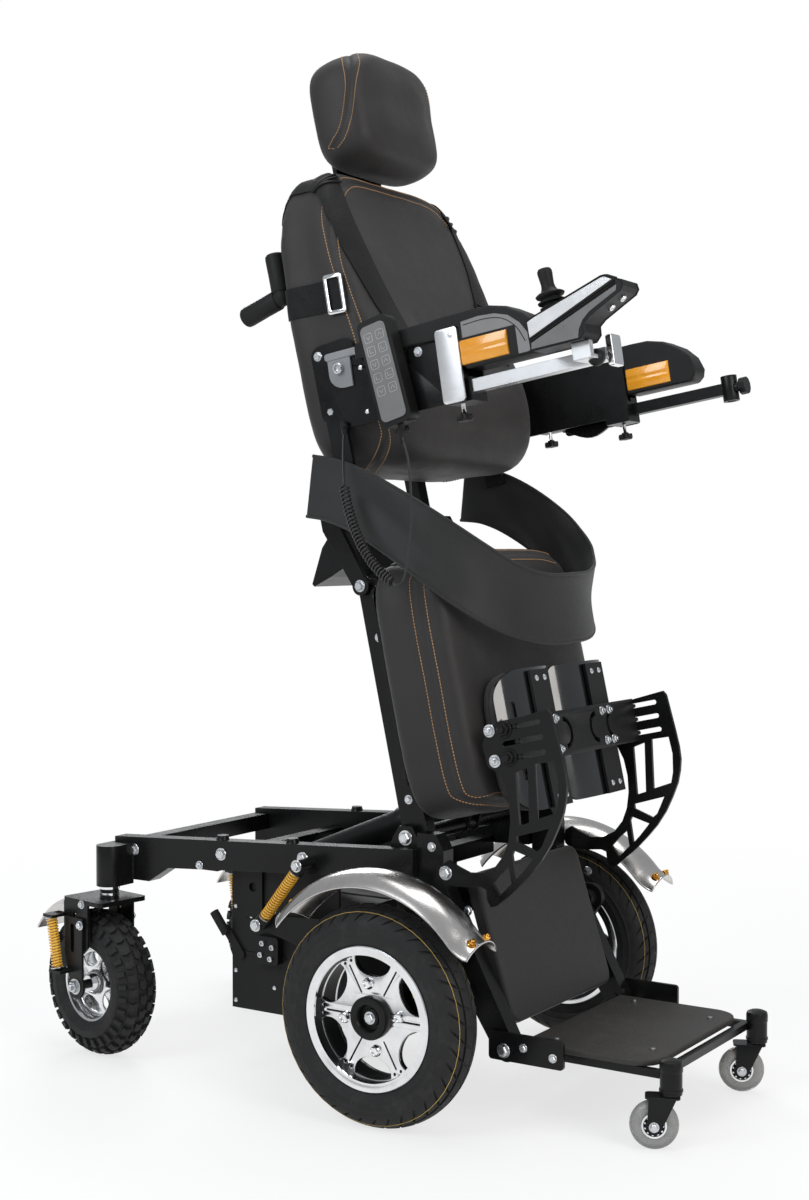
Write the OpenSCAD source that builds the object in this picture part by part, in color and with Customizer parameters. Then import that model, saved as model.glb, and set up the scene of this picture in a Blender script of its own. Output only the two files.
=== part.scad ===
// Standing power wheelchair, drawn standing up: X forward, Y to its left, Z up, floor at zero.
// Lengths along X are counted from the drive axle, and put() moves them to the middle of the footprint.

/* [Drive wheels] */
// Outer diameter of the drive tyre
drive_tyre_d = 350; // [330:2:370]
// Width of the drive tyre
drive_tyre_w = 76; // [66:1:84]
// Distance between the drive tyres, middle to middle
drive_track = 642; // [632:2:680]
// Diameter of the drive rim's outer lip
drive_lip_d = 228; // [216:2:240]
// Number of spokes in a drive rim
spoke_count = 6; // [5:1:8]
// Room between the drive tyre and the crown of its fender
fender_gap = 55; // [45:1:65]
// Width of the drive fender
fender_w = 88; // [84:1:100]

/* [Rear casters] */
// Outer diameter of the caster tyre
caster_tyre_d = 260; // [244:2:270]
// Width of the caster tyre
caster_tyre_w = 80; // [70:1:84]
// Distance from the drive axle back to the caster stems
caster_back = 616; // [600:2:640]
// Distance between the caster stems
caster_track = 514; // [508:2:540]
// How far a caster axle trails behind its stem
caster_trail = 24; // [18:1:30]
// Swivel of the rear casters as they stand
caster_swivel = -10; // [-20:1:20]

/* [Base frame] */
// Outer width over the two side rails
rail_span = 440; // [430:2:450]
// Height of a side rail
rail_h = 46; // [40:1:50]
// Thickness of a side rail
rail_t = 30; // [24:1:32]
// Height of a rail's top at its rear end
rail_rear_top = 386; // [380:1:392]
// Rise of the rails towards the front
rail_rise = 3; // [2:0.5:4]
// Length of the battery cradle
cradle_len = 227; // [215:1:235]
// Depth of the battery cradle below the rails
cradle_h = 185; // [175:1:190]

/* [Seat] */
// Height of the seat pivot
seat_pivot_z = 432; // [428:1:440]
// How far the seat pivot stands behind the drive axle
seat_pivot_back = 32; // [26:1:36]
// Lean of the seat as it stands
seat_lean = 12.5; // [11:0.5:14]
// Length from the seat pivot to the backrest hinge
seat_reach = 419; // [405:1:430]
// Width of the seat cushion
seat_w = 470; // [440:2:474]
// Thickness of the seat cushion
seat_thick = 140; // [118:1:142]

/* [Backrest] */
// Lean of the backrest
back_lean = 13; // [12:0.5:14]
// Height of the backrest cushion
back_h = 516; // [490:2:530]
// Width of the backrest cushion
back_w = 468; // [440:2:470]
// Thickness of the backrest cushion at the waist
back_thick = 162; // [140:1:166]
// Width of the headrest cushion
head_w = 270; // [230:2:300]
// Height of the headrest cushion
head_h = 200; // [180:2:220]
// Thickness of the headrest cushion
head_thick = 112; // [90:1:116]

/* [Armrests] */
// Upward tilt of the armrests
arm_tilt = 9; // [5:0.5:12]
// Distance between the inner faces of the arm panels
arm_span = 492; // [490:2:510]
// Length of an arm pad from its rear to its nose
pad_len = 332; // [300:2:340]
// Width of an arm pad
pad_w = 46; // [40:1:47]
// Side of the square bars that the arms carry
bar_side = 20; // [16:1:22]

/* [Hand control] */
// Length of the hand control
hand_len = 172; // [150:1:176]
// Width of the hand control
hand_w = 58; // [50:1:60]
// Thickness of the hand control
hand_t = 26; // [20:1:27]
// Number of curls in its cord
curl_count = 30; // [20:1:32]
// Diameter of the curly cord's tube
curl_tube_d = 4; // [3:0.2:4.4]
// Radius of the curls at the tube's middle
curl_r = 6.5; // [5:0.5:7]

/* [Knee block and footplate] */
// Height of the knee bar's middle
knee_z = 605; // [596:1:614]
// How far the knee bar stands before the drive axle
knee_x = 190; // [188:1:198]
// Width of one knee pad
knee_pad_w = 186; // [160:2:188]
// Height of one knee pad
knee_pad_h = 226; // [200:2:236]
// Width of the footplate
foot_w = 350; // [320:2:350]
// Length of the footplate
foot_len = 226; // [200:2:228]
// Diameter of a front caster wheel
front_wheel_d = 75; // [70:1:76]
// Swivel of the front casters as they stand
front_swivel = 25; // [-20:1:40]

/* [Springs] */
// Curls in a drive suspension spring
drive_spring_turns = 14; // [10:1:16]
// Curls in a caster spring
caster_spring_turns = 8; // [6:1:10]
// Wire diameter of the springs
spring_wire_d = 3.2; // [2.4:0.2:3.4]

/* [Hidden] */
$fn = 64;
// Overrun of a cut past the face it leaves
over = 1;
// Radial room of a running pin in its hole
fit = 0.05;
// Gap between bodies that pass each other
gap = 0.4;

rail_in = rail_span / 2 - rail_t;
rail_out = rail_span / 2;

// Drive wheel
drive_r = drive_tyre_d / 2;
drive_y = drive_track / 2;
rim_lip = 8;
rim_inset = 5;
bead_r = drive_lip_d / 2 - rim_lip;
rim_half_w = drive_tyre_w / 2 - rim_inset;
rim_wall = 9;
rim_dish = 20;
hub_r = 34;
hub_bolt_circle_r = 26;
hub_bolt_r = 4;
hub_bolt_count = 4;
drive_axle_r = 10;
spoke_w = 27;
spoke_groove_w = 9;
spoke_t = 10;
spoke_dot_r = 3;
tread_groove_r = 3;
tread_groove_y = drive_tyre_w * 0.22;

// Drive unit
swing_x = 90;
swing_z = 280;
swing_pin_r = 9;
arm_room = 6;
arm_plate_in = rail_out + arm_room;
arm_plate_t = 12;
arm_plate_out = arm_plate_in + arm_plate_t;
gear_r = 48;
gear_out = drive_y - drive_tyre_w / 2 - arm_room;
motor_r = 42;
motor_in = 105;
spring_low = [-285, 272];
spring_top = [-200, 380];
spring_eye_r = 10;
spring_cup_r = 12;
spring_y = arm_plate_out + spring_cup_r;
spring_cup_h = 6;
spring_r = 8;
arm_tail_h = 26;
arm_head_r = 24;

// Fender
fender_sheet = 2.5;
fender_drop = 24;
fender_rear_angle = 142;
fender_front_angle = 42;
fender_r = drive_r + fender_gap;
tongue_r = 55;
tongue_sweep = 30;
stay_w = 30;
stay_t = 4;

// Rear caster
caster_r = caster_tyre_d / 2;
caster_bead_r = caster_r * 0.52;
caster_rim_inset = 10;
caster_half_w = caster_tyre_w / 2 - caster_rim_inset;
caster_axle_r = 8;
caster_hub_r = 24;
caster_wall = 6;
caster_dish_t = 5;
caster_knob_count = 20;
caster_knob_gap = 9;
caster_knob_depth = 7;
fork_half = 47;
fork_plate_t = 5;
fork_room = 16;
fork_top_t = 8;
fork_under = 2 * caster_r + fork_room;
fork_top = fork_under + fork_top_t;
fork_front = 4;
fork_rear = 64;
fork_low = 188;
fork_slot_w = 9;
slot_len = 34;
stem_r = 10;
stem_collar_r = 17;
head_z0 = 305;
head_z1 = 377;
head_len = 46;
arm_t = 5;
arm_boss_r = 22;
arm_top_z = 252;
coil_top_x = -74;
coil_low_x = -58;
coil_top_z = 250;
coil_low_z = 158;
coil_room = 14;
coil_y = fork_half + fork_plate_t + arm_t + coil_room;
caster_lug_w = 22;
caster_lug_t = 5;
guard_room = 22;
guard_r = caster_r + guard_room;
guard_sheet = 2.5;
guard_front_angle = 100;
guard_rear_angle = 146;

// Rails and cross tubes
rail_rear_x = -636;
rail_front_x = 0;
gusset_z = 312;
gusset_len = 80;
gusset_slope = 45;
stop_r = 12;
stop_h = 9;
stop_back = [400, 250];
lug_half = 24;
lug_t = 12;
seat_pin_r = 6;
link_off_x = -70;
link_off_z = -38;
link_half_h = 10;
link_out = -44;
link_t = 10;
link_lug_t = 6;
link_tube_top = 380;
tube_side = 30;
tube_wall = 3;
rear_tube_x = -617;
anchor_x = -440;
anchor_z = 310;
mid_tube_top = 366;
mid_tube_h = 28;
front_tube_x = 25;
front_tube_z = 338;
low_tube_x = 112.1;
low_tube_z = 168;
clevis_in = 14;
clevis_t = 6;
clevis_r = 16;

// Leg posts and calf panel
post_in = 176;
post_t = 30;
post_out = post_in + post_t;
post_w = 50;
post_top = 445;
post_knee_z = 372;
foot_pivot_x = 165;
foot_pivot_z = 119;
foot_pin_r = 7;
foot_boss_r = 20;
calf_lean = 17.5;
calf_low_x = 163;
calf_low_z = 150;
calf_h = 245;
calf_t = 24;
calf_w = 2 * (post_in - tube_wall);
calf_corner_r = 22;

// Battery cradle
cradle_x0 = -392;
cradle_z0 = 105;
cradle_sheet = 5;
cradle_wall = 6;
battery_gap = 6;
lever_x = -370;
lever_z = 200;
lever_len = 52;
lever_grip_len = 44;
lever_lean = 38;
lever_t = 5;
lever_w = 16;
lever_pin_r = 5;
lever_grip_r = 8;

// Seat frame and seat cushion, in the leaned frame of the seat: X out of the cushion, Z along it
seat_tube_in = 150;
seat_tube_w = 26;
seat_tube_back = 13;
seat_tube_front = 34;
seat_tube_end = 20;
seat_torque_r = 13;
seat_top_tube_z = seat_reach - seat_tube_front;
seat_board_t = 6;
seat_board_z0 = 78;
seat_cushion_z0 = 12;
seat_cushion_len = 440;
seat_cushion_back = seat_tube_front + seat_board_t + gap;
crank_n = 25;
crank_u = 45;
crank_r = 15;
crank_in = 14;
crank_t = 6;
crank_slot = 13;
crank_room = 2.4;
rod_pin_r = 6;

// Actuator, along its own axis from the anchor
act_run = [-seat_pivot_back + crank_n * cos(seat_lean) - crank_u * sin(seat_lean) - anchor_x,
  seat_pivot_z + crank_n * sin(seat_lean) + crank_u * cos(seat_lean) - anchor_z];
act_angle = atan2(act_run[1], act_run[0]);
act_len = norm(act_run);
act_tube_r = 24;
act_tube_z0 = 30;
act_tube_z1 = 318;
act_rod_r = 10;
act_rod_tail = 180;
act_eye_r = 14;
act_eye_half = 12;
act_motor_r = 22;
act_motor_y = 50;
act_motor_z0 = 44;
act_motor_z1 = 200;
act_gear_z1 = 66;

// Back frame, in the leaned frame of the backrest
back_pin_r = 6;
strut_in = 178;
strut_t = 10;
strut_eye_r = 16;
back_tube_in = 96;
back_tube_out = 124;
back_aft = -54;
back_fore = -28;
back_tube_z0 = 105;
back_tube_z1 = 650;
back_board_t = 7;
back_rear = back_fore + back_board_t + gap;
back_z0 = 186;
back_cross_z = [205, 600];
back_cross_h = 26;
cover_low = 24;
cover_h = 84;
cover_len = 68;
cover_half = 150;
// The hinge cover's outline as shares of its length and height
cover_shares = [[0, 0.2], [0.1, 1], [-0.1, 1], [-0.5, 0.72], [-1, 0.06], [-0.95, 0], [-0.4, 0.1]];
side_room = 1.5;
ear_in = back_w / 2 + side_room;
ear_t = 5;
ear_z0 = 262;
ear_z1 = 392;
ear_front = 108;
ear_rear = 24;
ear_arm_h = 36;
ear_arm_z0 = 318;
ear_arm_front = 60;
ear_arm_rear = 26;
belt_lug_rear = 32;
belt_lug_low = 170;
arm_pivot_n = 85;
arm_pivot_u = 341;
arm_pin_r = 7;
stem_y = 50;
head_stem_r = 6;
sleeve_r = 11;
sleeve_z0 = 610;
sleeve_z1 = 690;
head_stem_z0 = 575;
head_yoke_z = 712;
head_yoke_t = 9;
head_plate_n = 26;
head_plate_t = 8;
head_plate_w = 140;
head_cushion_z0 = 712;

// Push handles
grip_r = 15;
grip_len = 84;
grip_up_len = 74;
grip_z = 505;
grip_y = 200;
grip_bar_r = 9;
grip_rib_count = 6;
grip_rib_depth = 1.5;
grip_rib_w = 4;
grip_droop = 8;

// Harness straps and hip belt
strap_w = 50;
strap_t = 2.4;
strap_lift = 2;
belt_w = 112;
belt_t = 4.5;
belt_reach = 305;
belt_half = 246;
belt_drop = 200;
belt_off = [-14, 164];

// Arm panel and arm pad, in the tilted frame of an arm: X along it, Z square to it
panel_in = arm_span / 2;
panel_t = 6;
panel_out = panel_in + panel_t;
panel_len = 214;
panel_low = -96;
panel_high = 26;
panel_tail = -22;
pad_in = panel_out + gap;
pad_out = pad_in + pad_w;
pad_x0 = 60;
pad_top = 28;
pad_low = -60;
lens_x0 = 252;
lens_len = 92;
lens_low = -53;
lens_h = 38;
lens_t = 1.6;
clamp_x0 = 213;
clamp_len = 45;
clamp_low = -106;
clamp_t = 4;
bar_y = 278;
bar_z = -84;
bar_x0 = 150;
bar_x1 = 486;
tray_bar_x0 = 70;
tray_bar_x1 = 440;
socket_r = 14;
socket_bore_r = 8;
socket_h = 44;
boss_knob_r = 15;
boss_knob_t = 12;

// Controller, in the tilted frame of the right arm
box_x0 = 398;
box_room = 2.2;
box_y0 = pad_out + box_room;
box_w = 52;
box_low = -68;
box_len = 158;
box_rise = 80;
box_pocket_r = 23;
box_pocket_d = 16;
stick_x = 432;
stick_r = 5;
stick_knob_r = 9.5;
stick_len = 62;
boot_r = 17;
boot_h = 30;
boot_rib_count = 3;
gimbal_r = 21.5;
gimbal_t = 4;
bracket_t = 6;
bracket_w = 30;

// Hand control and its cord
hand_y = 300;
hand_tilt = 16.5;
hand_off = [107, 66];
hand_round = 12;
hand_pad_t = 1;
hand_key_rows = 5;
hand_key_r = 6;
hand_hook_t = 4;
cord_r = 2.4;
cord_sides = 8;
curl_sides = 5;
curl_n = 6;
gland_r = 6;
gland_len = 12;

// Knee block, in the leaned frame of the knee bar
kplate_in = post_out;
kplate_t = 6;
knee_bar_t = 5;
knee_bar_h = 74;
knee_bar_half = post_out - over;
knee_slot_w = 8;
knee_strip_w = 60;
knee_strip_t = 5;
knee_pitch = 192;
knee_shell_t = 3.5;
knee_sag = 34;
knee_foam_t = 30;
knee_travel = 20;

// Footplate
foot_top = 127;
foot_board_t = 10;
foot_x0 = 176;
foot_corner_r = 45;
foot_tube = 12;
foot_side_in = 160;
foot_plate_in = max(post_out, foot_w / 2) + over;
foot_plate_t = 6;
foot_plate_x0 = 138;
foot_plate_x1 = 270;
foot_plate_z0 = 103;
foot_plate_z1 = 148;
front_stem_x = 430;
front_track = 340;
front_trail = 25;
house_r = 17;
house_z0 = 84;
house_z1 = 131;
front_stem_r = 6;
front_wheel_w = 24;
front_fork_gap = 2;
front_fork_t = 3;
front_axle_r = 4;
front_hub_r = 12;

// The footprint runs from the tips of the caster guards to the front caster housings
guard_tip_x = -caster_trail + (guard_r + guard_sheet) * cos(guard_rear_angle);
footprint_rear = -caster_back + guard_tip_x * cos(caster_swivel) - abs((fork_half - over) * sin(caster_swivel));
footprint_mid = (footprint_rear + front_stem_x + house_r) / 2;

// Shapes shared by several pieces
module put() {
  translate([-footprint_mid, 0, 0]) children();
}
module on_side(side) {
  if (side > 0) children();
  else mirror([0, 1, 0]) children();
}
module both() {
  children();
  mirror([0, 1, 0]) children();
}
// A rod along Y from one place to another
module rod_y(r, from, to) {
  translate([0, to, 0]) rotate([90, 0, 0]) cylinder(h = to - from, r = r);
}
// An outline in X and Z, thick along Y
module plate_y(from, to) {
  translate([0, to, 0]) rotate([90, 0, 0]) linear_extrude(to - from) children();
}
module box(from, to) {
  translate(from) cube(to - from);
}
module rounded(size, r) {
  translate(size / 2) {
    square([size[0] - 2 * r, size[1]], center = true);
    square([size[0], size[1] - 2 * r], center = true);
    for (sx = [-1, 1], sy = [-1, 1])
      translate([sx * (size[0] / 2 - r), sy * (size[1] / 2 - r)]) circle(r);
  }
}
// A bar with round ends between two points of an outline
module slot(p, q, r) {
  d = q - p;
  translate(p) rotate(atan2(d[1], d[0])) {
    translate([0, -r]) square([norm(d), 2 * r]);
    circle(r);
    translate([norm(d), 0]) circle(r);
  }
}
module along(p, q) {
  d = q - p;
  translate(p) rotate([0, acos(d[2] / norm(d)), atan2(d[1], d[0])]) children();
}
module seat_at() {
  translate([-seat_pivot_back, 0, seat_pivot_z]) rotate([0, -seat_lean, 0]) children();
}
hinge_x = -seat_pivot_back - seat_reach * sin(seat_lean);
hinge_z = seat_pivot_z + seat_reach * cos(seat_lean);
module back_at() {
  translate([hinge_x, 0, hinge_z]) rotate([0, -back_lean, 0]) children();
}
arm_x = hinge_x + arm_pivot_n * cos(back_lean) - arm_pivot_u * sin(back_lean);
arm_z = hinge_z + arm_pivot_n * sin(back_lean) + arm_pivot_u * cos(back_lean);
module arm_at() {
  translate([arm_x, 0, arm_z]) rotate([0, -arm_tilt, 0]) children();
}
module knee_at() {
  translate([knee_x, 0, knee_z]) rotate([0, -seat_lean, 0]) children();
}
module caster_at(side) {
  translate([-caster_back, side * caster_track / 2, 0]) rotate([0, 0, caster_swivel]) children();
}
module front_at(side) {
  translate([front_stem_x, side * front_track / 2, 0]) rotate([0, 0, front_swivel]) children();
}
function rail_top_at(x) = rail_rear_top + (x - rail_rear_x) * tan(rail_rise);

// Tubes swept along points: a ring of points round each place, joined by triangles
function unit(v) = v / norm(v);
function sweep_dir(p, i) = unit(p[min(i + 1, len(p) - 1)] - p[max(i - 1, 0)]);
function sweep_ring(c, t, ref, r, n) =
  let (a = unit(cross(ref, t)), b = cross(t, a)) [for (k = [0 : n - 1]) c + r * (a * cos(360 * k / n) + b * sin(360 * k / n))];
function ring_faces(rings, n) = [
  for (i = [0 : rings - 2], k = [0 : n - 1], h = [0, 1])
    let (a = i * n + k, b = i * n + (k + 1) % n)
      h == 0 ? [a, a + n, b] : [b, a + n, b + n]
];
function cap_faces(rings, n) = concat(
  [for (k = [1 : n - 2]) [0, k, k + 1]],
  [for (k = [1 : n - 2]) (rings - 1) * n * [1, 1, 1] + [0, k + 1, k]]);
module tube_along(p, r, n, refs) {
  pts = [for (i = [0 : len(p) - 1]) each sweep_ring(p[i], sweep_dir(p, i), refs[i], r, n)];
  polyhedron(pts, concat(ring_faces(len(p), n), cap_faces(len(p), n)));
}
// A spring's wire from zero up to its length, with a straight end of one wire diameter
function spring_points(r, length, turns, wire, rings) = concat(
  [[r, 0, 0]],
  [for (i = [0 : turns * rings])
    [r * cos(360 * i / rings), r * sin(360 * i / rings), wire + (length - 2 * wire) * i / (turns * rings)]],
  [[r * cos(360 * turns), r * sin(360 * turns), length]]);
function turn_gap(p, rings, d) = min([for (i = [1 : len(p) - rings - 2]) norm(p[i] - p[i + rings]) - d]);
module spring(length, turns) {
  p = spring_points(spring_r, length, turns, spring_wire_d, curl_n);
  tube_along(p, spring_wire_d / 2, curl_sides, [for (q = p) [q[0], q[1], 0]]);
}
function level(p) = [for (q = p) [0, 1, 0]];

// Pads: rings of points from the back to the crown, each a share of the outline
function soft(t, n) = let (c = cos(t), s = sin(t)) [sign(c) * pow(abs(c), 2 / n), sign(s) * pow(abs(s), 2 / n)];
pad_steps = 36;
// Shares of the outline and of the thickness from the back to the crown
pad_ring_shares = [[0.93, 0], [1, 0.1], [0.985, 0.45], [1, 0.72], [0.965, 0.9], [0.88, 0.975], [0.74, 0.955],
  [0.68, 0.905],
  [0.62, 0.945], [0.3, 0.93]];
module pad_mesh(points, rings, n = pad_steps, inward = false) {
  faces = concat(ring_faces(rings, n), cap_faces(rings, n));
  polyhedron(points, inward ? faces : [for (f = faces) [f[0], f[2], f[1]]]);
}

// Rails with their rear gussets, caster heads, seat lugs, link bosses, spring lugs and rubber stops
module side_rail() {
  top_front = rail_top_at(rail_front_x);
  difference() {
    union() {
      plate_y(rail_in, rail_out) polygon([[rail_rear_x, rail_rear_top], [rail_front_x, top_front],
        [rail_front_x, top_front - rail_h], [rail_rear_x + gusset_len + gusset_slope, rail_rear_top - rail_h],
        [rail_rear_x + gusset_len, gusset_z], [rail_rear_x, gusset_z]]);
      box([-caster_back - head_len / 2, rail_out - over, head_z0], [-caster_back + head_len / 2,
        caster_track / 2, head_z1]);
      translate([-caster_back, caster_track / 2, head_z0]) cylinder(h = head_z1 - head_z0, r = head_len / 2);
      plate_y(rail_in - lug_t, rail_in + over)
        polygon([[-seat_pivot_back - 2 * lug_half, rail_top_at(-seat_pivot_back - 2 * lug_half) - rail_h],
          [-seat_pivot_back + lug_half, rail_top_at(-seat_pivot_back) - rail_h],
          [-seat_pivot_back + lug_half, seat_pivot_z], [-seat_pivot_back + lug_half / 2,
            seat_pivot_z + lug_half * 0.8],
          [-seat_pivot_back - lug_half / 2, seat_pivot_z + lug_half * 0.8], [-seat_pivot_back - lug_half,
            seat_pivot_z]]);
      translate([spring_top[0], 0, spring_top[1]]) rod_y(spring_eye_r, rail_out - over, spring_y + spring_cup_r);
      along(spring_top_at, spring_low_at) cylinder(h = spring_seat, r = spring_cup_r);
      for (b = stop_back)
        translate([-b, (rail_in + rail_out) / 2, rail_top_at(-b) - over]) cylinder(h = stop_h, r1 = stop_r,
          r2 = stop_r * 0.8);
    }
    translate([-caster_back, caster_track / 2, head_z0 - over])
      cylinder(h = head_z1 - head_z0 - over * 4, r = stem_r + fit);
    translate([-seat_pivot_back, 0, seat_pivot_z]) rod_y(seat_pin_r + fit, rail_in - lug_t - over,
      rail_in + 2 * over);
  }
}
module side_rails() {
  color("#17181a") both() side_rail();
}

// Square tube across the frame, open inside
module cross_tube(x, z, h, half) {
  difference() {
    box([x - tube_side / 2, -half, z - h / 2], [x + tube_side / 2, half, z + h / 2]);
    box([x - tube_side / 2 + tube_wall, -half - over, z - h / 2 + tube_wall],
      [x + tube_side / 2 - tube_wall, half + over, z + h / 2 - tube_wall]);
  }
}
module cross_tubes() {
  color("#1a1b1d") {
    cross_tube(rear_tube_x, rail_rear_top - rail_h / 2, tube_side, rail_in);
    cross_tube(front_tube_x, front_tube_z, tube_side, post_in);
    cross_tube(low_tube_x, low_tube_z, tube_side, post_in);
    union() {
      cross_tube(link_low[0], link_tube_top - tube_side / 2, tube_side, rail_in);
      plate_y(link_lug, link_lug + link_lug_t) slot(link_low, [link_low[0], link_tube_top - over], link_half_h * 1.2);
      translate([link_low[0], 0, link_low[1]]) rod_y(seat_pin_r, link_out - gap, link_lug + over);
    }
    difference() {
      union() {
        cross_tube(anchor_x, mid_tube_top - mid_tube_h / 2, mid_tube_h, rail_in);
        for (s = [-1, 1]) plate_y(s * (clevis_in + clevis_t / 2) - clevis_t / 2,
          s * (clevis_in + clevis_t / 2) + clevis_t / 2)
          slot([anchor_x, anchor_z], [anchor_x, mid_tube_top - mid_tube_h], clevis_r * 0.9);
      }
      translate([anchor_x, 0, anchor_z]) rod_y(rod_pin_r, -clevis_in - 2 * clevis_t, clevis_in + 2 * clevis_t);
      box([anchor_x - tube_side / 2 + tube_wall, -rail_in - over, mid_tube_top - mid_tube_h + tube_wall],
        [anchor_x + tube_side / 2 - tube_wall, rail_in + over, mid_tube_top - tube_wall]);
    }
  }
}

// Leg posts, bent forward from the rails down to the footplate's hinge
module leg_posts() {
  color("#18191b") both() difference() {
    union() {
      plate_y(post_in, post_out) polygon([[rail_front_x, post_top], [post_w * 0.7, post_top], [post_w,
        post_top - post_w * 0.5],
        [post_w, post_knee_z], [foot_pivot_x + foot_boss_r * 0.6, foot_pivot_z + foot_boss_r * 0.8],
        [foot_pivot_x - foot_boss_r * 0.9, foot_pivot_z - foot_boss_r * 0.4], [rail_front_x,
          post_knee_z - post_w * 0.7]]);
      translate([foot_pivot_x, 0, foot_pivot_z]) rod_y(foot_boss_r, post_in, post_out);
    }
    translate([foot_pivot_x, 0, foot_pivot_z]) rod_y(foot_pin_r + fit, post_in - over, post_out + over);
    translate([swing_x, 0, swing_z]) rod_y(swing_pin_r + fit, post_in - over, post_out + over);
  }
}
module calf_panel() {
  color("#6f6f70")
    translate([calf_low_x, 0, calf_low_z]) rotate([0, -calf_lean, 0]) rotate([90, 0, 90])
      translate([-calf_w / 2, 0, -calf_t]) linear_extrude(calf_t) rounded([calf_w, calf_h], calf_corner_r);
}

// Open battery cradle hung between the rails, and its two batteries
cradle_x1 = cradle_x0 + cradle_len;
cradle_top = cradle_z0 + cradle_h;
module battery_box() {
  color("#141517") difference() {
    union() {
      box([cradle_x0, -rail_in, cradle_z0], [cradle_x1, rail_in, cradle_top]);
      both() box([cradle_x0, rail_in - cradle_wall, cradle_z0], [cradle_x1, rail_in,
        rail_top_at(cradle_x0) - rail_h * 0.6]);
    }
    box([cradle_x0 + cradle_sheet, -rail_in + cradle_wall, cradle_z0 + cradle_sheet],
      [cradle_x1 - cradle_sheet, rail_in - cradle_wall, rail_rear_top + rail_h]);
    translate([lever_x, 0, lever_z]) rod_y(lever_pin_r + fit, -rail_in - over, rail_in + over);
  }
}
module batteries() {
  x0 = cradle_x0 + cradle_sheet + battery_gap;
  x1 = cradle_x1 - cradle_sheet - battery_gap;
  y1 = rail_in - cradle_wall - battery_gap;
  z0 = cradle_z0 + cradle_sheet;
  z1 = cradle_top - battery_gap;
  color("#2b2d31") both() box([x0, battery_gap, z0], [x1, y1, z1]);
}

// Release lever on the side of the cradle: a flat arm and a grip on a pin
module release_lever(side) {
  color("#1b1b1c") on_side(side) translate([lever_x, 0, lever_z]) {
    y0 = rail_in + gap;
    tip = lever_len * [-sin(lever_lean), cos(lever_lean)];
    rod_y(lever_pin_r, rail_in - cradle_wall, y0 + lever_t);
    plate_y(y0, y0 + lever_t) slot([0, 0], tip, lever_w / 2);
    translate([tip[0], y0 + lever_t, tip[1]]) rotate([0, -lever_lean, 0]) {
      translate([0, lever_grip_r * 0.6, -lever_w / 2]) cylinder(h = lever_grip_len, r = lever_grip_r);
    }
  }
}

// Half-moon knee plates with their slots and windows, as shares of the plate's height and reach
kplate_h = 316;
kplate_reach = 216;
kplate_low = 341;
kplate_back = 58;
knee_shares = [[0.31, 0.8], [0.36, 0.9], [0.84, 1], [0.87, 0.98], [0.95, 0.79], [0.985, 0.7], [1, 0.63], [0.995,
  0.57],
  [0.975, 0.5], [0.93, 0.42], [0.875, 0.34], [0.8, 0.26], [0.72, 0.195], [0.63, 0.13], [0.53, 0.065], [0.43,
    0.01], [0.385, 0],
  [0.355, 0.03], [0.345, 0.085], [0.3, 0.095], [0.16, 0.085], [0.02, 0.085], [-0.03, 0.11], [-0.045, 0.145],
    [-0.03, 0.185],
  [0.02, 0.21], [0.1, 0.185], [0.2, 0.16], [0.31, 0.165], [0.42, 0.205], [0.49, 0.265], [0.53, 0.34], [0.545, 0.43],
  [0.535, 0.52], [0.5, 0.61], [0.45, 0.67], [0.36, 0.695]];
// Windows: lower left, upper left, upper right, lower right corners
knee_window_shares = [
  [[0.62, 0.42], [0.585, 0.68], [0.685, 0.71], [0.7, 0.44]],
  [[0.765, 0.46], [0.745, 0.73], [0.895, 0.75], [0.93, 0.66], [0.935, 0.56], [0.92, 0.5]],
  [[0.6, 0.34], [0.595, 0.365], [0.86, 0.42], [0.8, 0.325], [0.76, 0.3]],
  [[0.56, 0.27], [0.575, 0.295], [0.73, 0.265], [0.65, 0.195], [0.59, 0.15]],
  [[0.4, 0.12], [0.46, 0.17], [0.53, 0.215], [0.555, 0.13], [0.46, 0.065]]];
function knee_pt(p) = [kplate_back + p[0] * kplate_reach, kplate_low + p[1] * kplate_h];
module knee_plates() {
  color("#1c1c1d") both() difference() {
    plate_y(kplate_in, kplate_in + kplate_t) polygon([for (p = knee_shares) knee_pt(p)]);
    plate_y(kplate_in - over, kplate_in + kplate_t + over) {
      for (w = knee_window_shares) polygon([for (p = w) knee_pt(p)]);
      for (k = [-1, 0, 1])
        translate([knee_x, knee_z]) rotate(seat_lean)
          slot([-knee_travel * 1.3, k * knee_bar_h * 0.32], [knee_travel * 2, k * knee_bar_h * 0.32],
            knee_slot_w / 2);
    }
  }
}

// Knee block: bar across, two strips, curved shells and soft pads
module knee_bar() {
  color("#202021") knee_at() {
    difference() {
      union() {
        box([-knee_bar_t, -knee_bar_half, -knee_bar_h / 2], [0, knee_bar_half, knee_bar_h / 2]);
        both() for (k = [-1, 0, 1])
          translate([-knee_bar_t / 2, 0, k * knee_bar_h * 0.32])
            rod_y(knee_slot_w / 2 - gap, knee_bar_half - over, kplate_in + kplate_t + gap);
      }
      both() for (y = [0.3, 0.62]) {
        translate([-knee_bar_t - over, knee_pitch * y, 0]) rotate([90, 0, 90]) linear_extrude(knee_bar_t + 2 * over)
          difference() {
            circle(knee_bar_h * 0.36);
            circle(knee_bar_h * 0.25);
            translate([0, -knee_bar_h / 2]) square([knee_bar_h, knee_bar_h]);
          }
      }
    }
    both() translate([0, knee_pitch / 2, 0])
      box([-knee_bar_t - knee_strip_t, -knee_strip_w / 2, -knee_pad_h / 2], [-knee_bar_t, knee_strip_w / 2,
        knee_pad_h / 2 - knee_strip_t]);
  }
}
knee_arc_r = (pow(knee_pad_w / 2, 2) + pow(knee_sag, 2)) / (2 * knee_sag);
knee_front = -knee_bar_t - knee_strip_t;
module knee_arc(r, drop) {
  difference() {
    translate([knee_front - knee_arc_r, 0]) circle(r);
    translate([knee_front - drop - 2 * knee_arc_r, -knee_arc_r]) square(2 * knee_arc_r);
  }
}
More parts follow.
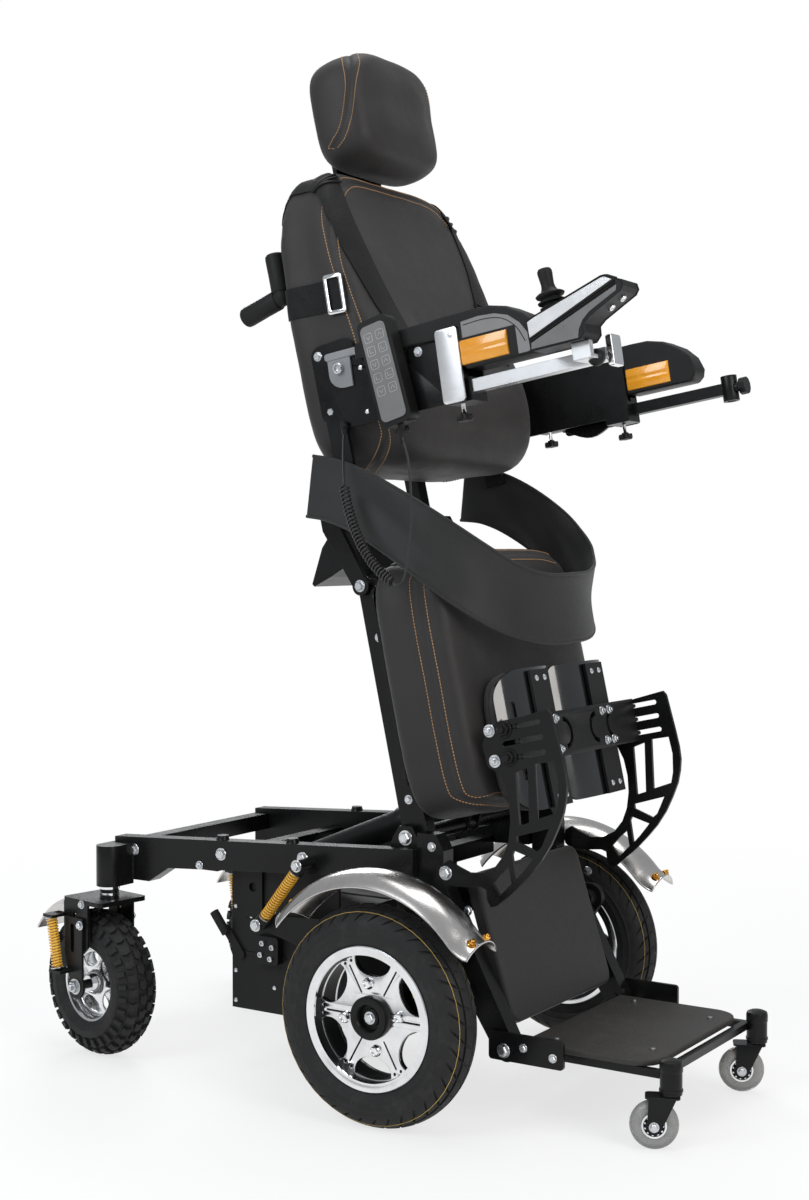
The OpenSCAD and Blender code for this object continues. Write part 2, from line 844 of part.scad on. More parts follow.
module knee_shells() {
  color("#0c0c0d") knee_at() both() translate([0, knee_pitch / 2, -knee_pad_h / 2]) {
    difference() {
      linear_extrude(knee_pad_h) difference() {
        knee_arc(knee_arc_r, knee_sag);
        knee_arc(knee_arc_r - knee_shell_t, knee_sag + over);
      }
      for (k = [0.3, 0.7])
        translate([knee_front - knee_sag - over, knee_pad_w * 0.36, knee_pad_h * k])
          rotate([90, 0, 90]) linear_extrude(knee_sag + 2 * over) slot([0, -knee_pad_h * 0.06], [0,
            knee_pad_h * 0.06], knee_slot_w);
    }
  }
}
knee_ring_shares = [[0.25, 0], [0.6, 0], [0.9, 0.02], [1, 0.3], [1.03, 0.6], [0.94, 0.9], [0.5, 1]];
knee_steps = 24;
module knee_pads() {
  inner_r = knee_arc_r - knee_shell_t - gap;
  color("#1f1f20") knee_at() both() translate([knee_front - knee_arc_r, knee_pitch / 2, 0]) rotate([90, 0, 90])
    pad_mesh([for (q = knee_ring_shares, i = [0 : knee_steps - 1])
      let (e = soft(360 * i / knee_steps, 4) * q[0], y = e[0] * (inner_r * sin(acos(1 - knee_sag / knee_arc_r)) - 2 * gap))
        [y, e[1] * knee_pad_h / 2, sqrt(pow(inner_r, 2) - pow(y,
          2)) * (1 - q[1]) + (inner_r - knee_sag - knee_foam_t) * q[1]]],
      len(knee_ring_shares), knee_steps, true);
}

// Drive unit: swing arm on the leg post, gearbox, motor and axle
module drive_unit(side) {
  color("#1d1e20") on_side(side) {
    plate_y(arm_plate_in, arm_plate_out) {
      polygon([[swing_x, swing_z + arm_head_r], [swing_x - arm_head_r, swing_z + arm_head_r],
        [spring_low[0], spring_low[1] + arm_tail_h / 2], [spring_low[0], spring_low[1] - arm_tail_h / 2],
        [-gear_r, drive_r + gear_r * 0.6], [gear_r * 0.8, drive_r - gear_r * 0.4], [swing_x + arm_head_r * 0.7,
          swing_z - arm_head_r * 0.7]]);
      translate([swing_x, swing_z]) circle(arm_head_r);
      translate(spring_low) circle(arm_tail_h / 2);
    }
    translate([swing_x, 0, swing_z]) rod_y(swing_pin_r, post_in, arm_plate_in + over);
    translate([swing_x, 0, swing_z]) rod_y(swing_pin_r * 1.6, post_out + gap, arm_plate_in + over);
    translate([0, 0, drive_r]) {
      rod_y(gear_r, arm_plate_in - over, gear_out);
      rod_y(motor_r, motor_in, arm_plate_in);
      rod_y(drive_axle_r, gear_out - over, drive_y + rim_half_w - rim_dish);
    }
    translate([spring_low[0], 0, spring_low[1]]) rod_y(spring_eye_r, arm_plate_out - over, spring_y + spring_cup_r);
    along(spring_low_at, spring_top_at) cylinder(h = spring_seat, r = spring_cup_r);
  }
}
// Coil spring between the swing arm's tail and the rail, on the cups of its two eyes
spring_low_at = [spring_low[0], spring_y, spring_low[1]];
spring_top_at = [spring_top[0], spring_y, spring_top[1]];
spring_seat = spring_eye_r + spring_cup_h;
module drive_spring(side) {
  color("#d8b21c") on_side(side) along(spring_low_at, spring_top_at)
    translate([0, 0, spring_seat + gap / 2]) spring(norm(spring_top - spring_low) - 2 * spring_seat - gap,
      drive_spring_turns);
}
// Fender: a crowned arch over the tyre with a forward tongue, on a stay from the gearbox
module fender_profile() {
  crown_r = (pow(fender_w / 2, 2) + pow(fender_drop, 2)) / (2 * fender_drop);
  intersection() {
    translate([-crown_r, 0]) difference() {
      circle(crown_r);
      circle(crown_r - fender_sheet);
    }
    translate([-fender_drop, -fender_w / 2]) square([fender_drop + over, fender_w]);
  }
}
module fender(side) {
  rim_z = drive_r + fender_r - fender_drop;
  color("#b9bcbf") on_side(side) {
    translate([0, drive_y, drive_r]) rotate([90, 0, 0]) {
      rotate([0, 0, fender_front_angle]) rotate_extrude(angle = fender_rear_angle - fender_front_angle, $fn = 128)
        translate([fender_r, 0]) fender_profile();
      translate((fender_r + tongue_r) * [cos(fender_front_angle), sin(fender_front_angle), 0])
        rotate([0, 0, fender_front_angle + 180]) rotate_extrude(angle = tongue_sweep, $fn = 96)
          translate([tongue_r, 0]) mirror([1, 0]) fender_profile();
    }
    box([-stay_w / 2, arm_plate_out, drive_r + gear_r + gap / 2], [stay_w / 2, arm_plate_out + stay_t, rim_z]);
    box([-stay_w / 2, arm_plate_out, rim_z - stay_t], [stay_w / 2, drive_y, rim_z]);
    box([-stay_w / 2, drive_y - stay_t, rim_z - stay_t], [stay_w / 2, drive_y,
      rim_z + fender_drop - fender_sheet / 2]);
  }
}

// Alloy rim with grooved spokes and a bolted hub
module drive_rim(side) {
  color("#aeb2b6") on_side(side) translate([0, drive_y, drive_r]) rotate([-90, 0, 0]) difference() {
    union() {
      rotate_extrude() polygon([[bead_r - rim_wall, -rim_half_w], [drive_lip_d / 2, -rim_half_w],
        [drive_lip_d / 2, -rim_half_w + rim_wall * 0.5], [bead_r - rim_wall * 0.3, -rim_half_w + rim_wall * 1.2],
        [bead_r - rim_wall * 0.3, rim_half_w - rim_wall * 1.2], [drive_lip_d / 2, rim_half_w - rim_wall * 0.5],
        [drive_lip_d / 2, rim_half_w], [bead_r - rim_wall, rim_half_w]]);
      translate([0, 0, rim_half_w - rim_dish - spoke_t]) {
        cylinder(h = spoke_t + rim_dish * 0.7, r = hub_r);
        for (i = [0 : spoke_count - 1]) rotate([0, 0, 360 * i / spoke_count])
          translate([0, -spoke_w / 2, 0]) cube([bead_r - rim_wall / 2, spoke_w, spoke_t]);
      }
      translate([0, 0, -rim_half_w * 0.7]) cylinder(h = rim_half_w, r = hub_r * 0.8);
    }
    translate([0, 0, -drive_tyre_w]) cylinder(h = 2 * drive_tyre_w, r = drive_axle_r + fit);
    translate([0, 0, rim_half_w - rim_dish + over]) cylinder(h = rim_dish, r = hub_r * 0.42);
    for (i = [0 : hub_bolt_count - 1]) rotate([0, 0, 360 * i / hub_bolt_count])
      translate([hub_bolt_circle_r, 0, rim_half_w - rim_dish]) cylinder(h = rim_dish, r = hub_bolt_r);
    for (i = [0 : spoke_count - 1]) rotate([0, 0, 360 * i / spoke_count]) {
      translate([hub_r * 1.08, -spoke_groove_w / 2, rim_half_w - rim_dish - spoke_t * 0.4])
        cube([bead_r * 0.44, spoke_groove_w, spoke_t]);
      translate([bead_r * 0.85, 0, rim_half_w - rim_dish - spoke_t * 0.4]) cylinder(h = spoke_t, r = spoke_dot_r);
    }
  }
}
module drive_tyre(side) {
  belly = drive_tyre_w / 2;
  color("#161616") on_side(side) translate([0, drive_y, drive_r]) rotate([-90, 0, 0])
    rotate_extrude($fn = 128) difference() {
      union() {
        translate([drive_r - belly, 0]) circle(belly);
        translate([bead_r + gap, -rim_half_w + rim_wall * 1.3]) square([drive_r - belly - bead_r,
          2 * rim_half_w - rim_wall * 2.6]);
        translate([drive_lip_d / 2 + gap, -rim_half_w]) square([drive_r - belly - drive_lip_d / 2, 2 * rim_half_w]);
      }
      for (s = [-1, 1]) translate([drive_r - belly + sqrt(pow(belly, 2) - pow(tread_groove_y, 2)),
        s * tread_groove_y]) circle(tread_groove_r);
      translate([0, -drive_tyre_w]) square([bead_r + gap, 2 * drive_tyre_w]);
      for (s = [-1, 1]) translate([0, s * (rim_half_w - rim_wall * 1.3 + drive_tyre_w) - drive_tyre_w]) square([drive_lip_d / 2 + gap, 2 * drive_tyre_w]);
    }
}

// Rear caster: fork on a stem, sprung arm, two springs and a wheel
module caster_fork(side) {
  outer = fork_half + fork_plate_t;
  color("#1a1a1b") caster_at(side) {
    difference() {
      union() {
        translate([0, 0, fork_under]) linear_extrude(fork_top_t)
          translate([-fork_rear - fork_front, -outer]) rounded([fork_rear + 11 * fork_front, 2 * outer], fork_top_t);
        translate([0, 0, fork_top - over]) cylinder(h = head_z1 - fork_top - 5 * over, r = stem_r);
        translate([0, 0, fork_top - over]) cylinder(h = head_z0 - fork_top, r = stem_collar_r);
        both() plate_y(fork_half, outer) polygon([[-fork_rear, fork_under + over], [fork_front, fork_under + over],
          [fork_front, fork_low + slot_len * 0.4], [-caster_trail + arm_boss_r * 0.6, fork_low],
          [-caster_trail - arm_boss_r, fork_low], [-fork_rear, fork_low + slot_len]]);
        both() translate([coil_top_x, 0, coil_top_z])
          box([-caster_lug_w / 2, fork_half, 0], [caster_lug_w / 2 + fork_plate_t, coil_y + caster_lug_w / 2,
            caster_lug_t]);
      }
      both() plate_y(fork_half - over, outer + over)
        slot([-caster_trail - fork_slot_w, fork_low + slot_len * 0.5], [-caster_trail - fork_slot_w,
          fork_under - slot_len * 0.6], fork_slot_w / 2);
    }
    translate([-caster_trail, 0, caster_r]) rotate([90, 0, 0]) rotate([0, 0, guard_front_angle])
      rotate_extrude(angle = guard_rear_angle - guard_front_angle, $fn = 96) translate([guard_r,
        -fork_half + over]) square([guard_sheet, 2 * fork_half - 2 * over]);
  }
}
module caster_arm(side) {
  y0 = fork_half + fork_plate_t + gap;
  color("#161617") caster_at(side) {
    both() {
      difference() {
        plate_y(y0, y0 + arm_t) {
          polygon([[-fork_rear * 0.8, arm_top_z], [-fork_front, arm_top_z],
            [-caster_trail + arm_boss_r * 0.8, caster_r + arm_boss_r * 0.4], [-caster_trail - arm_boss_r * 0.8,
              caster_r + arm_boss_r * 0.4],
            [-fork_rear * 0.9, fork_low]]);
          translate([-caster_trail, caster_r]) circle(arm_boss_r);
        }
        plate_y(y0 - over, y0 + arm_t + over) slot([-caster_trail - fork_slot_w, fork_low + slot_len * 0.2],
          [-caster_trail - fork_slot_w, arm_top_z - slot_len * 0.5], fork_slot_w * 0.6);
      }
      translate([coil_low_x, 0, coil_low_z - caster_lug_t])
        box([-caster_lug_w / 2, y0, 0], [caster_lug_w, coil_y + caster_lug_w / 2, caster_lug_t]);
    }
    translate([-caster_trail, 0, caster_r]) rod_y(caster_axle_r, -y0 - over, y0 + over);
  }
}
module caster_spring(side) {
  low = [coil_low_x, coil_y, coil_low_z + gap / 2];
  top = [coil_top_x, coil_y, coil_top_z - gap / 2];
  color("#d8b21c") caster_at(side) both() along(low, top) {
    cup = spring_cup_h * 0.8;
    translate([0, 0, cup / 2]) spring(norm(top - low) - cup, caster_spring_turns);
  }
}
module caster_wheel(side) {
  color("#c3c6c9") caster_at(side) translate([-caster_trail, 0, caster_r]) rotate([-90, 0, 0]) {
    rotate_extrude($fn = 96)
      polygon([[caster_bead_r - caster_wall, -caster_half_w], [caster_bead_r, -caster_half_w],
        [caster_bead_r, caster_half_w], [caster_bead_r - caster_wall, caster_half_w],
        [caster_bead_r - 2 * caster_wall, caster_dish_t * 2], [caster_hub_r, caster_dish_t * 3], [caster_hub_r,
          caster_half_w],
        [caster_axle_r + fit, caster_half_w], [caster_axle_r + fit, -caster_half_w], [caster_hub_r, -caster_half_w],
        [caster_hub_r, -caster_dish_t * 3], [caster_bead_r - 2 * caster_wall, -caster_dish_t * 2]]);
    belly = caster_tyre_w / 2;
    difference() {
      rotate_extrude($fn = 128) difference() {
        union() {
          translate([caster_r - belly, 0]) circle(belly);
          translate([caster_bead_r, -caster_half_w]) square([caster_r - belly - caster_bead_r + over,
            2 * caster_half_w]);
        }
        translate([0, -caster_tyre_w]) square([caster_bead_r + gap, 2 * caster_tyre_w]);
      }
      for (i = [0 : caster_knob_count - 1], s = [-1, 1]) rotate([0, 0, 360 * (i + s / 4) / caster_knob_count])
        translate([caster_r - caster_knob_depth, s * belly * 0.6, s * belly * 0.75]) rotate([s * 20, 0, 0])
          cube([2 * belly, caster_knob_gap, belly * 1.2], center = true);
    }
  }
}

// Footplate: hinge plates, tube frame, caster housings and board
module footplate_frame() {
  z1 = foot_top - foot_board_t - gap;
  z0 = z1 - foot_tube;
  color("#1b1b1c") difference() {
    union() {
      both() {
        plate_y(foot_plate_in, foot_plate_in + foot_plate_t) translate([foot_plate_x0, foot_plate_z0])
          rounded([foot_plate_x1 - foot_plate_x0, foot_plate_z1 - foot_plate_z0], foot_tube / 2);
        translate([foot_pivot_x, 0, foot_pivot_z]) rod_y(foot_pin_r, post_in - foot_plate_t / 2,
          foot_plate_in + over);
        box([foot_x0 + foot_tube, foot_side_in, z0], [front_stem_x - house_r * 0.7, foot_side_in + foot_tube, z1]);
        translate([front_stem_x, front_track / 2, house_z0]) cylinder(h = house_z1 - house_z0, r = house_r);
      }
      for (x = [foot_x0 + 2 * foot_tube, front_stem_x - 2 * foot_tube])
        box([x, -foot_side_in - over, z0], [x + foot_tube, foot_side_in + over, z1]);
      both() box([foot_x0 + 2 * foot_tube, foot_side_in, z0], [foot_x0 + 3 * foot_tube, foot_plate_in + over, z1]);
    }
    both() translate([front_stem_x, front_track / 2, house_z0 - over])
      cylinder(h = house_z1 - house_z0 - 2 * over, r = front_stem_r + fit);
  }
}
module footplate_board() {
  color("#59595b") translate([foot_x0, -foot_w / 2, foot_top - foot_board_t]) linear_extrude(foot_board_t) {
    rounded([foot_len, foot_w], foot_corner_r);
    square([foot_len / 2, foot_w]);
  }
}
module front_fork(side) {
  r = front_wheel_d / 2;
  half = front_wheel_w / 2 + front_fork_gap;
  color("#141414") front_at(side) {
    translate([0, 0, house_z0 - front_fork_gap - front_fork_t]) {
      cylinder(h = house_z1 - house_z0, r = front_stem_r);
      linear_extrude(front_fork_t) translate([-front_trail - half, -half - front_fork_t])
        rounded([front_trail + 2 * half, 2 * (half + front_fork_t)], half / 2);
    }
    both() plate_y(half, half + front_fork_t) {
      polygon([[-front_trail - half * 0.6, house_z0 - front_fork_gap - front_fork_t / 2], [half * 0.6,
        house_z0 - front_fork_gap - front_fork_t / 2],
        [-front_trail + front_hub_r * 0.9, r - front_hub_r * 0.4], [-front_trail - front_hub_r * 0.9,
          r - front_hub_r * 0.4]]);
      translate([-front_trail, r]) circle(front_hub_r);
    }
    translate([-front_trail, 0, r]) rod_y(front_axle_r, -half - over, half + over);
  }
}
module front_wheel(side) {
  r = front_wheel_d / 2;
  h = front_wheel_w / 2;
  color("#a9aaa6") front_at(side) translate([-front_trail, 0, r]) rotate([-90, 0, 0]) rotate_extrude() {
    translate([front_axle_r + fit, -h]) square([front_hub_r - front_axle_r, 2 * h]);
    translate([front_hub_r - over, -h * 0.7]) square([r * 0.4, 1.4 * h]);
    translate([r - h, 0]) circle(h);
    translate([r * 0.55, -h]) square([r * 0.45 - h, 2 * h]);
  }
}

// Seat frame: torque tube on the pivots, side tubes, board and the actuator's crank with its slotted holes
module seat_frame() {
  color("#191a1b") seat_at() {
    difference() {
      union() {
        rod_y(seat_torque_r, -seat_tube_in, seat_tube_in);
        both() {
          plate_y(seat_tube_in, seat_tube_in + seat_tube_w) {
            translate([-seat_tube_back, 0]) square([seat_tube_back + seat_tube_front, seat_reach]);
            circle(seat_tube_back);
            translate([0, seat_reach]) circle(seat_tube_back);
          }
          rod_y(seat_pin_r, seat_tube_in, rail_in + over);
          translate([0, 0, seat_reach]) rod_y(back_pin_r, seat_tube_in, strut_in + strut_t);
        }
        box([-seat_tube_back, -seat_tube_in, seat_top_tube_z], [seat_tube_back, seat_tube_in,
          seat_top_tube_z + 2 * seat_tube_back]);
        for (s = [-1, 1]) plate_y(s * (crank_in + crank_t / 2) - crank_t / 2,
          s * (crank_in + crank_t / 2) + crank_t / 2)
          slot([0, 0], [crank_n, crank_u], crank_r);
      }
      plate_y(-crank_in - 2 * crank_t, crank_in + 2 * crank_t)
        slot([crank_n, crank_u], [crank_n, crank_u] * (1 - crank_slot / norm([crank_n, crank_u])),
          rod_pin_r + crank_room);
    }
    translate([seat_tube_front, 0, seat_board_z0]) rotate([90, 0, 90]) linear_extrude(seat_board_t)
      translate([-seat_w * 0.46, 0]) rounded([seat_w * 0.92, seat_reach - seat_board_z0 - seat_board_t], seat_tube_w);
  }
}
// Seat cushion: crowned, with a sewn channel round its face and notches for the back struts
module seat_cushion() {
  color("#232324") seat_at() difference() {
    translate([seat_cushion_back, 0, seat_cushion_z0 + seat_cushion_len / 2]) rotate([90, 0, 90]) pad_mesh(
      [for (q = pad_ring_shares, i = [0 : pad_steps - 1])
        let (e = soft(360 * i / pad_steps, 6)) [e[0] * seat_w / 2 * q[0], e[1] * seat_cushion_len / 2 * q[0], q[1] * seat_thick]],
      len(pad_ring_shares));
    both() box([0, strut_in - over, seat_reach - seat_board_t], [2 * seat_thick, strut_in + strut_t + over, 2 * seat_reach]);
  }
}

// Linear actuator: tube, gearbox and side motor on the anchor, and the rod to the seat's crank
module act_at() {
  translate([anchor_x, 0, anchor_z]) rotate([0, 90 - act_angle, 0]) children();
}
module actuator_body() {
  color("#121213") act_at() difference() {
    union() {
      rod_y(act_eye_r, -act_eye_half, act_eye_half);
      rod_y(rod_pin_r, -clevis_in - clevis_t, clevis_in + clevis_t);
      box([-act_eye_half, -act_eye_half, 0], [act_eye_half, act_eye_half, act_tube_z0 + over]);
      translate([0, 0, act_tube_z0]) cylinder(h = act_tube_z1 - act_tube_z0, r = act_tube_r);
      translate([0, act_motor_y, act_motor_z0]) cylinder(h = act_motor_z1 - act_motor_z0, r = act_motor_r);
      box([-act_motor_r, 0, act_motor_z0], [act_motor_r, act_motor_y, act_gear_z1]);
    }
    translate([0, 0, act_rod_tail - act_rod_tail * 0.5]) cylinder(h = act_tube_z1, r = act_rod_r + fit * 2);
  }
}
module actuator_rod() {
  color("#c9ccce") act_at() {
    translate([0, 0, act_rod_tail]) cylinder(h = act_len - act_rod_tail, r = act_rod_r);
    translate([0, 0, act_len]) {
      rod_y(act_eye_r * 0.9, -act_eye_half, act_eye_half);
      rod_y(rod_pin_r, -crank_in - crank_t, crank_in + crank_t);
    }
  }
}
// Link beside the actuator, parallel to the seat, that keeps the backrest upright
link_lug = link_out + link_t + gap;
link_low = [-seat_pivot_back + link_off_x, seat_pivot_z + link_off_z];
link_high = [hinge_x + link_off_x, hinge_z + link_off_z];
module link_bar() {
  color("#1e1e1f") plate_y(link_out, link_out + link_t) difference() {
    slot(link_low, link_high, link_half_h);
    for (p = [link_low, link_high]) translate(p) circle(seat_pin_r + fit);
  }
}

// Back frame: hinge struts with the link's lever, tubes, board, arm plates, headrest sleeves and hinge cover
module back_frame() {
  lever = [link_off_x * cos(back_lean) + link_off_z * sin(back_lean),
    -link_off_x * sin(back_lean) + link_off_z * cos(back_lean)];
  color("#17181a") back_at() {
    difference() {
      union() {
        both() {
          plate_y(strut_in, strut_in + strut_t) {
            circle(strut_eye_r);
            polygon([[-strut_eye_r * 0.9, 0], [strut_eye_r * 0.9, 0], [back_fore, back_tube_z0 + back_cross_h],
              [back_aft, back_tube_z0 + back_cross_h], [back_aft, back_tube_z0]]);
          }
          box([back_aft, back_tube_in, back_tube_z0], [back_fore, strut_in + over, back_tube_z0 + back_cross_h]);
          box([back_aft, back_tube_in, back_tube_z0], [back_fore, back_tube_out, back_tube_z1]);
          box([back_fore - over, back_tube_in, ear_arm_z0], [ear_arm_front, back_tube_out, ear_arm_z0 + ear_arm_h]);
          box([ear_arm_rear, back_tube_in, ear_arm_z0], [ear_arm_front, ear_in + over, ear_arm_z0 + ear_arm_h]);
          plate_y(ear_in, ear_in + ear_t) translate([ear_rear, ear_z0])
            rounded([ear_front - ear_rear, ear_z1 - ear_z0], ear_arm_h / 2);
          box([belt_lug_rear, ear_in, belt_lug_low], [belt_lug_rear + ear_arm_h,
            belt_half - belt_t / 2 - gap, ear_z0 + ear_arm_h]);
          translate([arm_pivot_n, 0, arm_pivot_u]) rod_y(arm_pin_r, ear_in + over, panel_out);
          translate([(back_aft + back_fore) / 2, stem_y, sleeve_z0]) cylinder(h = sleeve_z1 - sleeve_z0,
            r = sleeve_r);
        }
        for (z = back_cross_z)
          box([back_aft, -back_tube_in - over, z], [back_fore, back_tube_in + over, z + back_cross_h]);
        translate([back_fore, 0, back_z0 + back_cross_h]) rotate([90, 0, 90]) linear_extrude(back_board_t)
          translate([-back_w * 0.36, 0]) rounded([back_w * 0.72, back_h * 0.86], back_cross_h);
      }
      rod_y(back_pin_r + fit, -strut_in - 2 * strut_t, strut_in + 2 * strut_t);
      both() translate([(back_aft + back_fore) / 2, stem_y, head_stem_z0 - 3 * head_stem_r])
        cylinder(h = sleeve_z1, r = head_stem_r + fit);
    }
    plate_y(-cover_half, cover_half) polygon([for (q = cover_shares) [back_aft + q[0] * cover_len,
      cover_low + q[1] * cover_h]]);
    plate_y(link_lug, link_lug + link_lug_t) {
      translate(lever) circle(link_half_h * 1.2);
      polygon([lever - [link_half_h, 0], lever + [link_half_h, 0], [back_aft + link_half_h, back_tube_z0],
        [back_aft - cover_len / 2, cover_low + over]]);
    }
    translate([lever[0], 0, lever[1]]) rod_y(seat_pin_r, link_out - gap, link_lug + over);
  }
}

// Backrest cushion: waist swell, narrowed shoulders, sewn channel and a rear that bends forward at the top
function back_taper(s) = 1 - 0.2 * pow(max(0, (s - 0.1) / 0.9), 2.4);
back_bow = 34;
function back_bend(s) = back_bow * pow(max(0, s), 3);
back_droop = 26;
function back_depth(s) =
  back_thick * (1 - 0.52 * pow(max(0, (s + 0.2) / 1.2), 1.8) + 0.2 * max(0, 1 - pow((s + 0.62) / 0.5, 2)));
module back_cushion() {
  color("#222223") back_at() difference() {
    translate([back_rear, 0, back_z0 + back_h / 2]) rotate([90, 0, 90]) pad_mesh(
    [for (q = pad_ring_shares, i = [0 : pad_steps - 1])
      let (e = soft(360 * i / pad_steps, 6), s = e[1] * q[0])
        [e[0] * back_w / 2 * q[0] * back_taper(s), s * back_h / 2 - back_droop * q[1] * pow(max(0, -s), 3),
          back_bend(s) + q[1] * back_depth(s)]],
      len(pad_ring_shares));
    both() for (q = [[back_aft, back_tube_out], [ear_arm_rear, back_w]])
      box([q[0] - gap, back_tube_in - gap, ear_arm_z0 - gap], [ear_arm_front + gap, q[1] + gap,
        ear_arm_z0 + ear_arm_h + gap]);
  }
}
// A flat ribbon along points, wide along one direction and thick along another
module ribbon(p, wide, thick) {
  pts = [for (i = [0 : len(p) - 1]) each [p[i] - wide[i] - thick[i], p[i] + wide[i] - thick[i],
    p[i] + wide[i] + thick[i], p[i] - wide[i] + thick[i]]];
  polyhedron(pts, concat(ring_faces(len(p), 4), cap_faces(len(p), 4)));
}
// Shoulder straps over the face of the cushion: shares of the back's half height, and of its half width
strap_shares = [[1.03, 0.7, 0], [1.035, 0.7, 0.45], [1.015, 0.72, 0.82], [0.95, 0.74, 0.93], [0.85, 0.78, 0.95],
  [0.65, 0.83, 0.95], [0.4, 0.82, 0.98], [0.15, 0.76, 1], [-0.1, 0.68, 1], [-0.3, 0.62, 1]];
function strap_point(q) = let (s = min(q[0], 1))
  [back_rear + back_bend(s) + back_depth(s) * q[2] * 1.005 + strap_lift + strap_t / 2, q[1] * back_w / 2,
    back_z0 + back_h / 2 * (1 + q[0]) + strap_t];
module harness_straps() {
  p = [for (q = strap_shares) strap_point(q)];
  n = [for (i = [0 : len(p) - 1]) unit(cross([0, 1, 0], sweep_dir(p, i))) * strap_t / 2];
  w = [for (i = [0 : len(p) - 1]) [0, strap_w / 2, 0]];
  color("#111112") back_at() both() ribbon(p, w, n);
}
// Hip belt: a wide soft band from the two lower corners of the backrest round the front of the hips
belt_shares = [[-0.16, -0.985, 0], [0, -1, -0.04], [0.18, -1, -0.14], [0.4, -0.985, -0.32], [0.6, -0.93, -0.52],
  [0.78, -0.8, -0.74],
  [0.9, -0.56, -0.92], [0.97, -0.26, -1], [1, 0.06, -1], [0.97, 0.36, -0.98], [0.88, 0.64, -0.91], [0.74, 0.86,
    -0.76],
  [0.56, 0.97, -0.53], [0.38, 1, -0.31], [0.18, 1, -0.13], [0, 1, -0.03], [-0.16, 0.985, 0]];
module hip_belt() {
  p = [for (q = belt_shares) [hinge_x + belt_off[0] + q[0] * belt_reach, q[1] * belt_half,
    hinge_z + belt_off[1] + q[2] * belt_drop]];
  t = [for (i = [0 : len(p) - 1]) sweep_dir(p, i)];
  n = [for (i = [0 : len(p) - 1]) unit(cross(t[i], [0, 0, 1])) * belt_t / 2];
  w = [for (i = [0 : len(p) - 1]) unit(cross(n[i], t[i])) * belt_w / 2 * (1 - 0.12 * pow(belt_shares[i][1], 4))];
  color("#151516") ribbon(p, w, n);
}
// Push handles: a grip to the rear and a shorter one upward on each side
module push_grip(length) {
  difference() {
    cylinder(h = length, r = grip_r);
    for (i = [1 : grip_rib_count]) translate([0, 0, length * i / (grip_rib_count + 1)]) difference() {
      cylinder(h = grip_rib_w, r = grip_r + over);
      translate([0, 0, -over]) cylinder(h = grip_rib_w + 2 * over, r = grip_r - grip_rib_depth);
    }
  }
}
module push_handles() {
  color("#0f0f10") back_at() both() translate([back_rear - grip_r - grip_rib_depth, grip_y, grip_z]) {
    rotate([0, -90 - grip_droop, 0]) push_grip(grip_len);
    push_grip(grip_up_len);
    sphere(grip_r);
    rod_y(grip_bar_r, back_tube_out - grip_y + fit, 0);
  }
}

// Headrest: two stems, a yoke, a plate and a crowned cushion
module headrest_stem() {
  n = (back_aft + back_fore) / 2;
  color("#26272a") back_at() {
    both() translate([n, stem_y, head_stem_z0]) cylinder(h = head_yoke_z - head_stem_z0, r = head_stem_r);
    box([n - 2 * head_stem_r, -head_plate_w / 2, head_yoke_z - over], [head_plate_n + head_plate_t,
      head_plate_w / 2, head_yoke_z + head_yoke_t]);
    box([head_plate_n, -head_plate_w / 2, head_yoke_z], [head_plate_n + head_plate_t, head_plate_w / 2,
      head_cushion_z0 + head_h * 0.7]);
  }
}
head_ring_shares = [[0.78, 0], [0.93, 0.06], [1, 0.3], [1, 0.55], [0.95, 0.8], [0.82, 0.94], [0.6, 0.985], [0.3, 1]];
module headrest_cushion() {
  color("#202021") back_at() translate([head_plate_n + head_plate_t + gap, 0,
    head_cushion_z0 + head_h / 2]) rotate([90, 0, 90]) pad_mesh(
    [for (q = head_ring_shares, i = [0 : pad_steps - 1])
      let (e = soft(360 * i / pad_steps, 3.4)) [e[0] * head_w / 2 * q[0], e[1] * head_h / 2 * q[0],
        q[1] * head_thick]],
    len(head_ring_shares));
}

// Arm panel with its pivot, the clamp for the bar and the cord's gland
module arm_panel(side) {
  color("#16171a") on_side(side) arm_at() difference() {
    union() {
      plate_y(panel_in, panel_out) polygon([[panel_tail, panel_low * 0.3], [0, panel_low],
        [panel_len, panel_low], [panel_len + clamp_len, panel_low * 0.85], [panel_len + clamp_len, 0],
          [panel_len * 0.6, panel_high * 0.7], [panel_len * 0.1, panel_high],
        [panel_tail, panel_high]]);
      box([clamp_x0, panel_in, clamp_low], [clamp_x0 + clamp_len, bar_y + bar_side / 2 + clamp_t,
        bar_z + bar_side / 2 + clamp_t]);
      box([clamp_x0, pad_out + gap, clamp_low], [clamp_x0 + clamp_len * 0.86, pad_out + gap + clamp_t,
        panel_high * 0.3]);
      box([clamp_x0, bar_y, bar_z + bar_side / 2 + gap], [clamp_x0 + clamp_len * 0.86, pad_out + gap + clamp_t,
        pad_low - gap]);
    }
    rod_y(arm_pin_r + fit, panel_in - over, panel_out + over);
    box([clamp_x0 - over, bar_y - bar_side / 2 - fit, bar_z - bar_side / 2 - fit],
      [clamp_x0 + clamp_len + over, bar_y + bar_side / 2 + fit, bar_z + bar_side / 2 + fit]);
  }
}
